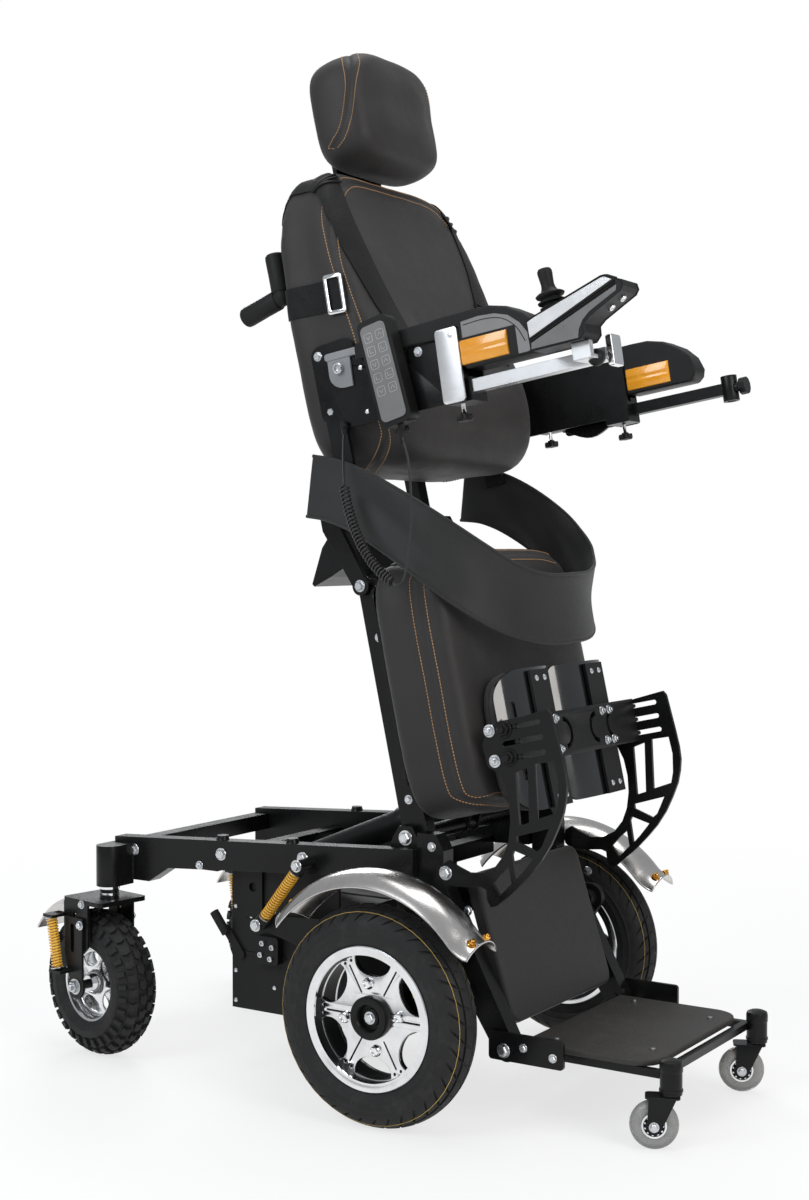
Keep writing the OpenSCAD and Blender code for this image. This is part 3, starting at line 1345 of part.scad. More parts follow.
// Arm pad: a moulded housing with a soft top, a downturned nose and an orange lens let in on its side
pad_shares = [[0, 0.66], [0, 0.9], [0.02, 0.95], [0.2, 0.98], [0.66, 1], [0.75, 0.99], [0.84, 0.9], [0.92, 0.72],
  [0.975, 0.5], [1, 0.25],
  [0.99, 0.1], [0.96, 0], [0.6, 0], [0.585, 0.05], [0.57, 0.45], [0.54, 0.58], [0.48, 0.62]];
module arm_pad(side) {
  color("#121315") on_side(side) arm_at() {
    difference() {
      plate_y(pad_in, pad_out) polygon([for (q = pad_shares) [pad_x0 + q[0] * pad_len,
        pad_low + q[1] * (pad_top - pad_low)]]);
      box([lens_x0 - gap, pad_out - lens_t, lens_low - gap], [lens_x0 + lens_len + gap, pad_out + over,
        lens_low + lens_h + gap]);
    }
    box([lens_x0, pad_out - lens_t, lens_low], [lens_x0 + lens_len, pad_out, lens_low + lens_h]);
  }
}
// Right bar: square tube with the controller's bracket at its front
module joystick_bar() {
  half = bar_side / 2;
  color("#b4b7ba") on_side(-1) arm_at() {
    box([bar_x0, bar_y - half, bar_z - half], [bar_x1, bar_y + half, bar_z + half]);
    box([bar_x1 - bracket_w, bar_y + half - over, bar_z - half], [bar_x1, box_y0 + box_w * 0.7,
      bar_z - half + bracket_t]);
    box([bar_x1 - bracket_w, box_y0 + box_w * 0.5, bar_z - half], [bar_x1, box_y0 + box_w * 0.7, box_low - gap / 2]);
  }
}
// Left bar: square tube whose end carries an upright socket
module tray_bar() {
  half = bar_side / 2;
  color("#1a1a1b") on_side(1) arm_at() difference() {
    union() {
      box([tray_bar_x0, bar_y - half, bar_z - half], [tray_bar_x1, bar_y + half, bar_z + half]);
      translate([tray_bar_x1, bar_y, bar_z - socket_h / 2]) cylinder(h = socket_h, r = socket_r);
      translate([tray_bar_x1, bar_y, bar_z]) rotate([0, 90, 0]) {
        cylinder(h = socket_r + boss_knob_t, r = socket_bore_r);
        translate([0, 0, socket_r + boss_knob_t / 2]) cylinder(h = boss_knob_t, r = boss_knob_r, $fn = 10);
      }
    }
    translate([tray_bar_x1, bar_y, bar_z - socket_h]) cylinder(h = 2 * socket_h, r = socket_bore_r + fit);
  }
}
// Controller: a wedge whose face rises to the front, with a pocket for the stick
box_shares = [[0.01, 0], [0.52, 0], [0.57, 0.1], [0.575, 0.26], [0.64, 0.36], [0.97, 0.66], [1, 0.74], [0.99,
  0.84], [0.84, 1],
  [0.8, 1], [0.08, 0.6], [0, 0.54]];
box_mid = box_y0 + box_w / 2;
pocket_z = box_low + box_rise * 0.74;
face_slope = atan2(box_rise * 0.4, box_len * 0.72);
stick_slope = face_slope * 0.4;
module controller() {
  color("#131314") on_side(-1) arm_at() difference() {
    plate_y(box_y0, box_y0 + box_w) polygon([for (q = box_shares) [box_x0 + q[0] * box_len,
      box_low + q[1] * box_rise]]);
    translate([stick_x, box_mid, pocket_z]) rotate([0, -stick_slope, 0]) {
      translate([0, 0, -box_pocket_d]) cylinder(h = 2 * box_pocket_d, r = box_pocket_r);
    }
  }
}
module stick_at() {
  on_side(-1) arm_at() translate([stick_x, box_mid, pocket_z - box_pocket_d * 0.55]) rotate([0, -stick_slope,
    0]) children();
}
// Gimbal ring on cross pins, and the stick with its ribbed boot
module joystick_gimbal() {
  color("#3a3b3e") stick_at() difference() {
    union() {
      translate([0, 0, -gimbal_t / 2]) cylinder(h = gimbal_t, r = gimbal_r);
      rod_y(gimbal_t / 3, -gimbal_r - over, gimbal_r + over);
    }
    translate([0, 0, -gimbal_t]) cylinder(h = 2 * gimbal_t, r = stick_r * 2);
  }
}
module joystick() {
  color("#0e0e0f") stick_at() {
    translate([0, 0, -gimbal_t / 2]) cylinder(h = gimbal_t * 2, r = stick_r);
    rotate([0, 90, 0]) translate([0, 0, -2 * stick_r + gap]) cylinder(h = 4 * stick_r - 2 * gap, r = gimbal_t / 3);
    rotate_extrude() polygon(concat([[0, gimbal_t * 1.5]],
      [for (i = [0 : 2 * boot_rib_count]) let (s = i / (2 * boot_rib_count))
        [(boot_r + (stick_r - boot_r) * s) * (i % 2 == 0 ? 1 : 0.84), gimbal_t * 1.5 + boot_h * s]], [[0,
          gimbal_t * 1.5 + boot_h]]));
    cylinder(h = stick_len - stick_knob_r, r = stick_r);
    translate([0, 0, stick_len * 0.6]) cylinder(h = stick_len * 0.4 - stick_knob_r * 0.6, r1 = stick_r,
      r2 = stick_knob_r);
    translate([0, 0, stick_len - stick_knob_r * 0.6]) intersection() {
      sphere(stick_knob_r);
      translate([0, 0, stick_knob_r]) cube(2 * stick_knob_r, center = true);
    }
  }
}

// Hand control on its hook
module hand_place() {
  translate([arm_x + hand_off[0], -hand_y, arm_z + hand_off[1]]) rotate([0, -hand_tilt, 0]) children();
}
module handset() {
  color("#1b1c1e") hand_place() {
    plate_y(-hand_t, 0) translate([-hand_w / 2, -hand_len]) rounded([hand_w, hand_len], hand_round);
    plate_y(-hand_t - hand_pad_t, -hand_t + over)
      translate([-hand_w * 0.38, -hand_len * 0.86]) rounded([hand_w * 0.76, hand_len * 0.76], hand_round / 2);
    for (r = [0 : hand_key_rows - 1], c = [-1, 1])
      translate([c * hand_w * 0.18, 0, -hand_len * (0.2 + 0.135 * r)]) rod_y(hand_key_r,
        -hand_t - 2 * hand_pad_t, -hand_t);
    box([-hand_w / 4, -over, -hand_len * 0.42], [hand_w / 4, hand_y - panel_out - fit, -hand_len * 0.42 + hand_hook_t]);
  }
}
// Route of the cord: a straight run down from the arm, the curls, and a straight run up to the hand control
// as places from the arm pivot
cord_y = panel_out + gland_r + fit;
cord_run = [[11, -cord_y, -99], [11, -cord_y - cord_r, -112], [14, -266, -142], [20, -274, -172], [23, -277, -188]];
curl_axis = [[23, -277, -188], [29, -279, -210], [38, -282, -234], [51, -286, -260], [69, -291, -287], [91, -295,
  -312],
  [113, -299, -330], [133, -302, -343]];
hand_end = [hand_off[0] + hand_len * sin(hand_tilt), -hand_y - hand_t / 2,
  hand_off[1] - hand_len * cos(hand_tilt) - gap];
cord_up = [[133, -302, -343], [141, -303, -346], [149, -304, -344], [155, -305, -336], [160, -306, -320], [167,
  -308, -287],
  [172, -310, -247], [173, -312, -201], [168, -313, -150], hand_end - [0, 0, gland_len], hand_end];
// Points along the curl's axis at even steps
function axis_at(s) = let (n = len(curl_axis) - 1, i = min(floor(s * n), n - 1), f = s * n - i,
  a = curl_axis[max(i - 1, 0)], b = curl_axis[i], c = curl_axis[i + 1], d = curl_axis[min(i + 2, n)])
    0.5 * (2 * b + (c - a) * f + (2 * a - 5 * b + 4 * c - d) * f * f + (3 * b - a - 3 * c + d) * f * f * f);
function axis_dir(s) = unit(axis_at(min(s + 0.01, 1)) - axis_at(max(s - 0.01, 0)));
curl_steps = curl_count * curl_n;
function curl_point(i) = let (s = i / curl_steps, t = axis_dir(s), a = unit(cross(t, [0, 1, 0])), b = cross(t, a),
  grow = min(1, 2 * i / curl_n, 2 * (curl_steps - i) / curl_n))
    axis_at(s) + curl_r * grow * (a * cos(360 * i / curl_n) + b * sin(360 * i / curl_n));
curl_points = [for (i = [0 : curl_steps]) curl_point(i)];
module handset_cord() {
  color("#101011") translate([arm_x, 0, arm_z]) {
    tube_along(cord_run, cord_r, cord_sides, level(cord_run));
    tube_along(cord_up, cord_r, cord_sides, level(cord_up));
    translate(cord_run[0]) cylinder(h = gland_len, r = gland_r);
  }
}
module handset_curl() {
  color("#101011") translate([arm_x, 0, arm_z]) tube_along(curl_points, curl_tube_d / 2, curl_sides,
    level(curl_points));
}
function axial_gap() = min([for (i = [curl_n : curl_steps - 2 * curl_n]) norm(curl_points[i] - curl_points[i + curl_n]) - curl_tube_d]);
echo("least gap between curls of the cord", axial_gap());
echo("least gap between curls of a drive spring", turn_gap(spring_points(spring_r,
  norm(spring_top - spring_low) - 2 * spring_seat - gap,
  drive_spring_turns, spring_wire_d, curl_n), curl_n, spring_wire_d));
echo("least gap between curls of a caster spring", turn_gap(spring_points(spring_r,
  coil_top_z - coil_low_z - spring_cup_h,
  caster_spring_turns, spring_wire_d, curl_n), curl_n, spring_wire_d));

put() side_rails();
put() cross_tubes();
put() leg_posts();
put() calf_panel();
put() battery_box();
put() batteries();
put() knee_plates();
put() actuator_body();
put() knee_bar();
put() knee_shells();
put() knee_pads();
put() drive_unit(-1);  // drive_unit_right
put() drive_unit(1);  // drive_unit_left
put() fender(-1);  // fender_right
put() fender(1);  // fender_left
put() drive_spring(-1);  // drive_spring_right
put() drive_spring(1);  // drive_spring_left
put() release_lever(-1);  // release_lever_right
put() release_lever(1);  // release_lever_left
put() drive_rim(-1);  // drive_rim_right
put() drive_rim(1);  // drive_rim_left
put() drive_tyre(-1);  // drive_tyre_right
put() drive_tyre(1);  // drive_tyre_left
put() caster_fork(-1);  // caster_fork_right
put() caster_fork(1);  // caster_fork_left
put() caster_arm(-1);  // caster_arm_right
put() caster_arm(1);  // caster_arm_left
put() caster_spring(-1);  // caster_spring_right
put() caster_spring(1);  // caster_spring_left
put() caster_wheel(-1);  // caster_wheel_right
put() caster_wheel(1);  // caster_wheel_left
put() footplate_frame();
put() footplate_board();
put() front_fork(-1);  // front_fork_right
put() front_fork(1);  // front_fork_left
put() front_wheel(-1);  // front_wheel_right
put() front_wheel(1);  // front_wheel_left
put() seat_frame();
put() seat_cushion();
put() actuator_rod();
put() link_bar();
put() back_frame();
put() back_cushion();
put() harness_straps();
put() hip_belt();
put() push_handles();
put() headrest_stem();
put() headrest_cushion();
put() arm_panel(-1);  // arm_panel_right
put() arm_panel(1);  // arm_panel_left
put() arm_pad(-1);  // arm_pad_right
put() arm_pad(1);  // arm_pad_left
put() joystick_bar();
put() tray_bar();
put() controller();
put() joystick_gimbal();
put() joystick();
put() handset();
put() handset_cord();
put() handset_curl();
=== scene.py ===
# Standing wheelchair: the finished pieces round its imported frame, in metres.
import math

import bmesh
import bpy
from mathutils import Matrix, Vector, noise
from mathutils.bvhtree import BVHTree
from mathutils.kdtree import KDTree


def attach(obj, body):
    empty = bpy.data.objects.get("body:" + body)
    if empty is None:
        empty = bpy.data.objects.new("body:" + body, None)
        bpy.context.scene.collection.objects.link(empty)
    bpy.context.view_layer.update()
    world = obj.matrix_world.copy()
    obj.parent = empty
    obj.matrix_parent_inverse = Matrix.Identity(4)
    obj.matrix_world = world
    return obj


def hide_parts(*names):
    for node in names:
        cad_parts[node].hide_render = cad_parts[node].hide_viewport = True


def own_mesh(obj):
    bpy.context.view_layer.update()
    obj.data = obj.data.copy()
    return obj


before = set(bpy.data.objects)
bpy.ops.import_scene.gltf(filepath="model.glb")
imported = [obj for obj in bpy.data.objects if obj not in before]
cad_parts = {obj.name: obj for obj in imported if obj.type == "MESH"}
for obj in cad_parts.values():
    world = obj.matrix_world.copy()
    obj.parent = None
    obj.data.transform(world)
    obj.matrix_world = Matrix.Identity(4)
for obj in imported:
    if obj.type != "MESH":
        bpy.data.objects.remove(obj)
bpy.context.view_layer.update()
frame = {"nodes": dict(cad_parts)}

nodes = frame["nodes"]
scene = bpy.context.scene
MM = 0.001
BOTH = (-1, 1)
SIDES = {"right": -1, "left": 1}

# Places of the main pieces: millimetres of their own, counted from the drive axle
AXLE_TO_MIDDLE = 163.382
BACK_X, BACK_Z = -122.688, 841.068
ARM_X, ARM_Z = -116.575, 1192.45
HAND_X, HAND_Z, HAND_LEAN, HAND_LEN = 107, 66, 16.5, 172
DRIVE_R, DRIVE_Y = 175, 321
CASTER_TRAIL, CASTER_R = -24, 130
FRONT_X, FRONT_Y, FRONT_TRAIL, FRONT_R = 430, 170, -25, 37.5


def move(x, y, z):
    return Matrix.Translation((x, y, z))


def spin(degrees, axis):
    return Matrix.Rotation(math.radians(degrees), 4, axis)


def leaned(x, z, lean=0.0, y=0.0, turn=0.0):
    """Matrix from a piece's own millimetres to the row frame: X out of its face, Z along it."""
    return Matrix.Scale(MM, 4) @ move(x + AXLE_TO_MIDDLE, y, z) @ spin(turn, "Z") @ spin(-lean, "Y")


BASE = leaned(0, 0)
SEAT = leaned(-32, 432, 12.5)
BACK = leaned(BACK_X, BACK_Z, 13)
ARM = leaned(ARM_X, ARM_Z, 9)
KNEE = leaned(190, 605, 12.5)
HAND = leaned(ARM_X + HAND_X, ARM_Z + HAND_Z, HAND_LEAN, y=-300)
ACTUATOR = leaned(-440, 310, -67.933)
STICK = ARM @ move(432, -326.6, -17.6) @ spin(-6.284, "Y")
CASTER = {name: leaned(-616, 0, y=side * 257, turn=-10) for name, side in SIDES.items()}
FRONT = {name: leaned(FRONT_X, 0, y=side * FRONT_Y, turn=25) for name, side in SIDES.items()}
# Takes an outline in X and Y to a plate in X and Z that is thick along Y
UPRIGHT = Matrix(((1, 0, 0, 0), (0, 0, 1, 0), (0, 1, 0, 0), (0, 0, 0, 1)))
# Takes an outline in X and Y to a plate in Y and Z that is thick along X
FACING_ON = Matrix(((0, 0, 1, 0), (1, 0, 0, 0), (0, 1, 0, 0), (0, 0, 0, 1)))


def facing(base, origin, direction, twist=0.0):
    """Matrix whose Z stands on a face, out along direction."""
    turn = Vector(direction).to_track_quat("Z", "Y").to_matrix().to_4x4()
    return base @ move(*origin) @ turn @ spin(twist, "Z")


def beside(base, side, x, y, z):
    """Matrix whose Z stands on an outer side face; y is counted from the middle."""
    return facing(base, (x, side * y, z), (0, side, 0))


# Lines and outlines
def polar(r, degrees):
    t = math.radians(degrees)
    return (r * math.cos(t), r * math.sin(t))


def arc(r, start, end, steps):
    return [polar(r, start + (end - start) * k / steps) for k in range(steps + 1)]


def circle(r, steps):
    return [polar(r, 360 * k / steps) for k in range(steps)]


def turned_outline(outline, angle):
    c, s = polar(1, angle)
    return [(c * x - s * y, s * x + c * y) for x, y in outline]


def rounded(x0, y0, x1, y1, r, steps=6):
    """Outline of a rectangle with round corners."""
    corners = ((x1 - r, y1 - r), (x0 + r, y1 - r), (x0 + r, y0 + r), (x1 - r, y0 + r))
    return [(cx + x, cy + y) for i, (cx, cy) in enumerate(corners) for x, y in arc(r, 90 * i, 90 * i + 90, steps)]


def smooth_path(points, per):
    """Points along a smooth curve through the given ones."""
    p = [Vector(q) for q in points]
    made = []
    for i in range(len(p) - 1):
        a, b, c, d = p[max(i - 1, 0)], p[i], p[i + 1], p[min(i + 2, len(p) - 1)]
        for k in range(per):
            f = k / per
            made.append(0.5 * (2 * b + (c - a) * f + (2 * a - 5 * b + 4 * c - d) * f * f
                               + (3 * b - a - 3 * c + d) * f * f * f))
    return made + [p[-1]]


def path_length(points):
    return sum((b - a).length for a, b in zip(points, points[1:]))


def heading(line, i, reach=1):
    """Direction of a line of points at one of them."""
    return (line[min(i + reach, len(line) - 1)] - line[max(i - reach, 0)]).normalized()


def even_steps(points, step):
    """Points at equal steps along a line of points."""
    made, rest = [points[0]], step
    for a, b in zip(points, points[1:]):
        length = (b - a).length
        while length >= rest > 0:
            a = a + (b - a) * (rest / length)
            made.append(a)
            length -= rest
            rest = step
        rest -= length
    return made


# Blender objects and their settings
def put(thing, **settings):
    for key, value in settings.items():
        setattr(thing, key, value)
    return thing


def linked(name, data):
    made = bpy.data.objects.new(name, data)
    scene.collection.objects.link(made)
    return made


def modify(made, kind, **settings):
    return put(made.modifiers.new(kind, kind), **settings)


def evaluated(made):
    return made.evaluated_get(bpy.context.evaluated_depsgraph_get())


def work_in(made):
    """Works a piece's modifiers into its mesh."""
    mesh = bpy.data.meshes.new_from_object(evaluated(made))
    made.modifiers.clear()
    made.data = mesh
    return mesh


def shade(mesh, degrees):
    """Smooth shading, apart from edges sharper than an angle."""
    mesh.shade_smooth()
    mesh.set_sharp_from_angle(angle=math.radians(degrees))


def eased(made, width, segments=2):
    """Rounds the sharp edges of a piece."""
    modify(made, "BEVEL", width=width * MM, segments=segments, limit_method="ANGLE", angle_limit=math.radians(35))


def finer(made):
    modify(made, "SUBSURF", levels=1, render_levels=1)
    return work_in(made)


def paint(made, finish):
    made.data.materials.clear()
    made.data.materials.append(finish)


def dress(made, finish, body, replaces, slot=None):
    paint(made, finish)
    slot or SLOTS[finish.name]
    if replaces:
        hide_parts(*replaces)
    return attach(made, body)


LOBE_RISE = 0.13


class Shape:
    """Points and faces of one piece, gathered from turned, swept and extruded forms."""

    def __init__(self):
        self.points, self.faces = [], []

    def add(self, points, faces, at):
        first = len(self.points)
        self.points += [at @ Vector(p) if at else Vector(p) for p in points]
        self.faces += [[first + i for i in face] for face in faces]
        return self

    def loft(self, rows, at=None, closed=False, capped=False):
        """A skin over rows of points; a row of one point is a tip."""
        points, rings = [], []
        for row in rows:
            rings.append(list(range(len(points), len(points) + len(row))))
            points += row
        steps = max(len(row) for row in rows)
        faces = []
        for a, b in zip(rings, rings[1:] + (rings[:1] if closed else [])):
            for k in range(steps if len(a) + len(b) > 2 else 0):
                corners = ((a, k), (b, k), (b, k + 1), (a, k + 1))
                faces.append(list(dict.fromkeys(ring[i % len(ring)] for ring, i in corners)))
        if capped:
            faces += [rings[0], rings[-1][::-1]]
        return self.add(points, faces, at)

    def turned(self, profile, at, steps=32, closed=False, lobes=0):
        """A profile of radius and height turned about its own Z; lobes swell its radius that many times round."""
        swell = [1 + LOBE_RISE * math.cos(lobes * 2 * math.pi * k / steps) if lobes else 1 for k in range(steps)]
        rows = [[(x * s, y * s, z) for (x, y), s in zip(circle(r, steps if r else 1), swell)] for r, z in profile]
        return self.loft(rows, at, closed)

    def swept(self, path, radius, at, sides=10, closed=False):
        """A round tube along points; radius is a number or one per point."""
        p = [Vector(q) for q in path]
        radii = radius if hasattr(radius, "__len__") else [radius] * len(p)
        rows, side = [], None
        for i, centre in enumerate(p):
            along = (p[(i + 1) % len(p)] - p[i - 1]).normalized() if closed else heading(p, i)
            if side is None:
                side = along.orthogonal().normalized()
            side = (side - along * side.dot(along)).normalized()
            other = along.cross(side)
            rows.append([centre + side * x + other * y for x, y in circle(radii[i], sides)])
        return self.loft(rows, at, closed, not closed)

    def prism(self, outline, low, high, at):
        """An outline in X and Y, thick along Z."""
        return self.loft([[(x, y, z) for x, y in outline] for z in (low, high)], at, capped=True)

    def pierced(self, outline, holes, low, high, at, ease=0.0):
        """A plate with holes and eased edges."""
        curve = put(bpy.data.curves.new("plate", "CURVE"), dimensions="2D", fill_mode="BOTH", bevel_resolution=1,
                    extrude=(high - low) / 2 - ease, bevel_depth=ease, offset=-ease)
        for line in [outline, *holes]:
            spline = curve.splines.new("POLY")
            spline.points.add(len(line) - 1)
            spline.use_cyclic_u = True
            for point, (x, y) in zip(spline.points, line):
                point.co = (x, y, 0, 1)
        holder = linked("plate", curve)
        mesh = bpy.data.meshes.new_from_object(evaluated(holder))
        points = [v.co + Vector((0, 0, (low + high) / 2)) for v in mesh.vertices]
        self.add(points, [list(p.vertices) for p in mesh.polygons], at)
        bpy.data.objects.remove(holder)
        bpy.data.meshes.remove(mesh)
        bpy.data.curves.remove(curve)
        return self

    def object(self, name, smooth=35):
        mesh = bpy.data.meshes.new(name)
        mesh.from_pydata(self.points, [], self.faces)
        shape = bmesh.new()
        shape.from_mesh(mesh)
        bmesh.ops.remove_doubles(shape, verts=shape.verts, dist=2e-6)
        bmesh.ops.recalc_face_normals(shape, faces=shape.faces)
        shape.to_mesh(mesh)
        shape.free()
        shade(mesh, smooth)
        return linked(name, mesh)

    def make(self, name, finish, body, smooth=35, ease=0.0, segments=2, replaces=(), slot=None):
        made = self.object(name, smooth)
        if ease:
            eased(made, ease, segments)
        return dress(made, finish, body, replaces, slot)


# Finishes
class Wire:
    """A shader value that takes part in sums; each sum adds its Math node."""

    def __init__(self, nodes, socket):
        self.nodes, self.socket = nodes, socket

    def sum(self, operation, first, second):
        return self.nodes.node("Math", {0: first, 1: second}, operation=operation)

    def __add__(self, other):
        return self.sum("ADD", self, other)

    __radd__ = __add__

    def __rsub__(self, other):
        return self.sum("SUBTRACT", other, self)

    def __mul__(self, other):
        return self.sum("MULTIPLY", self, other)

    __rmul__ = __mul__


class Nodes:
    """The nodes of one material or world."""

    def __init__(self, tree):
        self.tree = tree
        tree.nodes.clear()

    def feed(self, socket, value):
        if isinstance(value, Wire):
            self.tree.links.new(value.socket, socket)
        else:
            socket.default_value = value

    def node(self, kind, sockets=None, out=0, **settings):
        """A node of a type, with its settings set first, then the values or links of its sockets."""
        made = put(self.tree.nodes.new("ShaderNode" + kind), **settings)
        for key, value in (sockets or {}).items():
            self.feed(made.inputs[key], value)
        return Wire(self, made.outputs[out]) if made.outputs else made


class Finish(Nodes):
    """A procedural material on one Principled shader."""

    def __init__(self, name, **constants):
        self.material = bpy.data.materials.new(name)
        self.material.use_nodes = True
        super().__init__(self.material.node_tree)
        self.shader = self.tree.nodes.new("ShaderNodeBsdfPrincipled")
        self.surface = Wire(self, self.shader.outputs[0])
        self.output = self.node("OutputMaterial", {0: self.surface})
        for key, value in constants.items():
            self.shader.inputs[key.replace("_", " ")].default_value = value
        self.place = self.node("TexCoord", out="Object")

    def done(self, colour, rough, normal):
        for socket, value in (("Base Color", colour), ("Roughness", rough), ("Normal", normal)):
            self.feed(self.shader.inputs[socket], value)
        return self.material

    def noise(self, scale, detail=3.0, rough=0.5, place=None):
        return self.node("TexNoise", {
            "Vector": place or self.place, "Scale": scale, "Detail": detail, "Roughness": rough})

    def stretched(self, scale):
        return self.node("Mapping", {"Vector": self.place, "Scale": scale})

    def cells(self, scale, feature="F1"):
        return self.node("TexVoronoi", {"Vector": self.place, "Scale": scale}, feature=feature)

    def axis(self, name):
        return self.node("SeparateXYZ", {0: self.place}, name)

    def sine(self, value):
        return self.node("Math", {0: value}, operation="SINE")

    def shift(self, value, low, high, new_low=0.0, new_high=1.0):
        return self.node("MapRange", {0: value, 1: low, 2: high, 3: new_low, 4: new_high}, clamp=True)

    def mix(self, factor, first, second):
        return self.node("Mix", {0: factor, 6: first, 7: second}, 2, data_type="RGBA")

    def bump(self, height, depth, strength, under=None):
        sockets = {"Height": height, "Distance": depth * MM, "Strength": strength}
        if under:
            sockets["Normal"] = under
        return self.node("Bump", sockets)

    def edges(self, radius):
        """One along the edges, for their wear and painted highlight; nothing on flat faces."""
        soft = self.node("Bevel", {0: radius * MM}, samples=4)
        hard = self.node("NewGeometry", out="Normal")
        same = self.node("VectorMath", {0: soft, 1: hard}, "Value", operation="DOT_PRODUCT")
        return self.shift(1 - same, 0.04, 0.3)


def grey(level, warm=0.0):
    return (level * (1 + warm), level, level * (1 - warm), 1)


def coat(name, dark, light, low, high, grain=700, depth=0.12, edge_wear_and_highlight=None, **constants):
    """Paint, moulded plastic or rubber: cloudy colour, uneven gloss and a fine grain."""
    f = Finish(name, **constants)
    cloud = f.noise(9, 5, 0.6)
    speck = f.noise(grain, 2, 0.6)
    colour = f.mix(f.shift(cloud, 0.35, 0.7), dark, light)
    if edge_wear_and_highlight:
        # Edges take their own colour: wear, and on the black coats a lighter edge that is partly painted highlight
        colour = f.mix(f.edges(1.6) * f.shift(f.noise(60, 4, 0.7), 0.42, 0.62), colour, edge_wear_and_highlight)
    rough = f.shift(cloud * 0.7 + f.noise(55, 4, 0.65) * 0.3, 0.35, 0.7, low, high)
    return f.done(colour, rough, f.bump(speck, depth, 0.6))


def metal(name, colour, low, high, brushed=None, depth=0.05):
    """Bare or plated metal with smears and fine scratches."""
    f = Finish(name, Metallic=1.0)
    smear = f.noise(24, 5, 0.6)
    scratch = f.noise(1.0, 4, 0.7, f.stretched(brushed)) if brushed else f.noise(900, 4, 0.7)
    dull = tuple(c * 0.82 for c in colour[:3]) + (1,)
    return f.done(f.mix(f.shift(smear, 0.4, 0.75), colour, dull),
                  f.shift(smear * 0.6 + scratch * 0.4, 0.3, 0.7, low, high), f.bump(scratch, depth, 0.35))


def leather(name, dark, light):
    """Soft coated cloth: pebbled grain with painted shade in its hollows, fine creases and a faint warm cast."""
    f = Finish(name, Specular_IOR_Level=0.3, Sheen_Weight=0.08, Sheen_Roughness=0.5)
    pebble = f.cells(620, "DISTANCE_TO_EDGE")
    crease = f.noise(150, 5, 0.65)
    cloud = f.noise(7, 4, 0.55)
    colour = f.mix(f.shift(cloud, 0.35, 0.7), dark, light)
    grain = f.bump(f.shift(pebble, 0.0, 0.22), 0.12, 0.55)
    # The hollows between the pebbles are mixed toward a darker grey: painted shade in the grain
    return f.done(f.mix(f.shift(pebble, 0.0, 0.12, 0.35, 0.0), colour, grey(0.012)),
                  f.shift(crease * 0.5 + cloud * 0.5, 0.35, 0.65, 0.44, 0.6), f.bump(crease, 0.35, 0.4, grain))


def woven(name, dark, light, pitch):
    """Flat webbing: ribs along the strap crossed by fine threads, darker in their dips as painted shade."""
    f = Finish(name, Sheen_Weight=0.08, Sheen_Roughness=0.4, Specular_IOR_Level=0.2)
    turn = 2 * math.pi / (pitch * MM)
    rib = f.sine(f.axis("Y") * turn)
    thread = f.sine((f.axis("Z") + 0.5 * f.axis("X")) * (turn * 0.8))
    weave = f.shift(rib * thread * 0.6 + rib * 0.4, -1, 1)
    fuzz = f.noise(300)
    # The weave's dips are drawn darker and its crests lighter: painted shade
    return f.done(f.mix(weave * 0.7 + fuzz * 0.3, dark, light), f.shift(fuzz, 0.3, 0.7, 0.55, 0.75),
                  f.bump(weave, 0.25, 0.8))


def tyre_rubber():
    """Tyre rubber: dusty in its grooves, with fine mould grain."""
    f = Finish("tyre_rubber", Specular_IOR_Level=0.28)
    cloud = f.noise(16, 5, 0.65)
    dust = f.shift(f.noise(45, 5, 0.7), 0.5, 0.75)
    return f.done(f.mix(dust * 0.35, f.mix(cloud, grey(0.010), grey(0.019)), grey(0.05, 0.08)),
                  f.shift(cloud, 0.3, 0.7, 0.55, 0.78),
                  f.bump(f.noise(800, 2), 0.15, 0.5, f.bump(f.noise(120), 0.2, 0.4)))


def lens_plastic():
    f = Finish("orange_lens", Coat_Weight=0.6, Coat_Roughness=0.08, Transmission_Weight=0.12, IOR=1.49)
    band = f.shift(f.sine(f.axis("X") * (2 * math.pi / 0.0035)), -1, 1)
    cloud = f.noise(40)
    return f.done(f.mix(cloud, (0.86, 0.30, 0.012, 1), (1.0, 0.46, 0.03, 1)), f.shift(cloud, 0.3, 0.7, 0.14, 0.3),
                  f.bump(band, 0.12, 0.6))


def clear_grey():
    f = Finish("grey_polyurethane", Transmission_Weight=0.45, IOR=1.45, Subsurface_Weight=0.1)
    cloud = f.noise(60, 4)
    return f.done(f.mix(cloud, (0.30, 0.30, 0.295, 1), (0.42, 0.42, 0.41, 1)), f.shift(cloud, 0.3, 0.7, 0.2, 0.4),
                  f.bump(f.noise(500, 2), 0.08, 0.4))


def foot_mat():
    """Moulded mat with small raised studs and scuffs."""
    f = Finish("foot_mat", Specular_IOR_Level=0.3)
    stud = f.shift(f.cells(260), 0.1, 0.55, 1.0, 0.0)
    scuff = f.shift(f.noise(22, 6, 0.7), 0.5, 0.72)
    return f.done(f.mix(scuff * 0.5, grey(0.036, 0.06), grey(0.07, 0.08)), f.shift(scuff, 0.0, 1.0, 0.6, 0.8),
                  f.bump(stud, 0.5, 0.5))


def glossy_shell():
    f = Finish("gloss_shell", Coat_Weight=1.0, Coat_Roughness=0.03)
    smear = f.noise(14, 5, 0.6)
    hair = f.shift(f.noise(1.0, 3, 0.7, f.stretched((90, 900, 60))), 0.62, 0.7)
    return f.done(f.mix(smear, grey(0.004, -0.1), grey(0.010, -0.12)),
                  f.shift(smear, 0.3, 0.7, 0.08, 0.2) + hair * 0.12, f.bump(f.noise(30, 2), 0.08, 0.25))


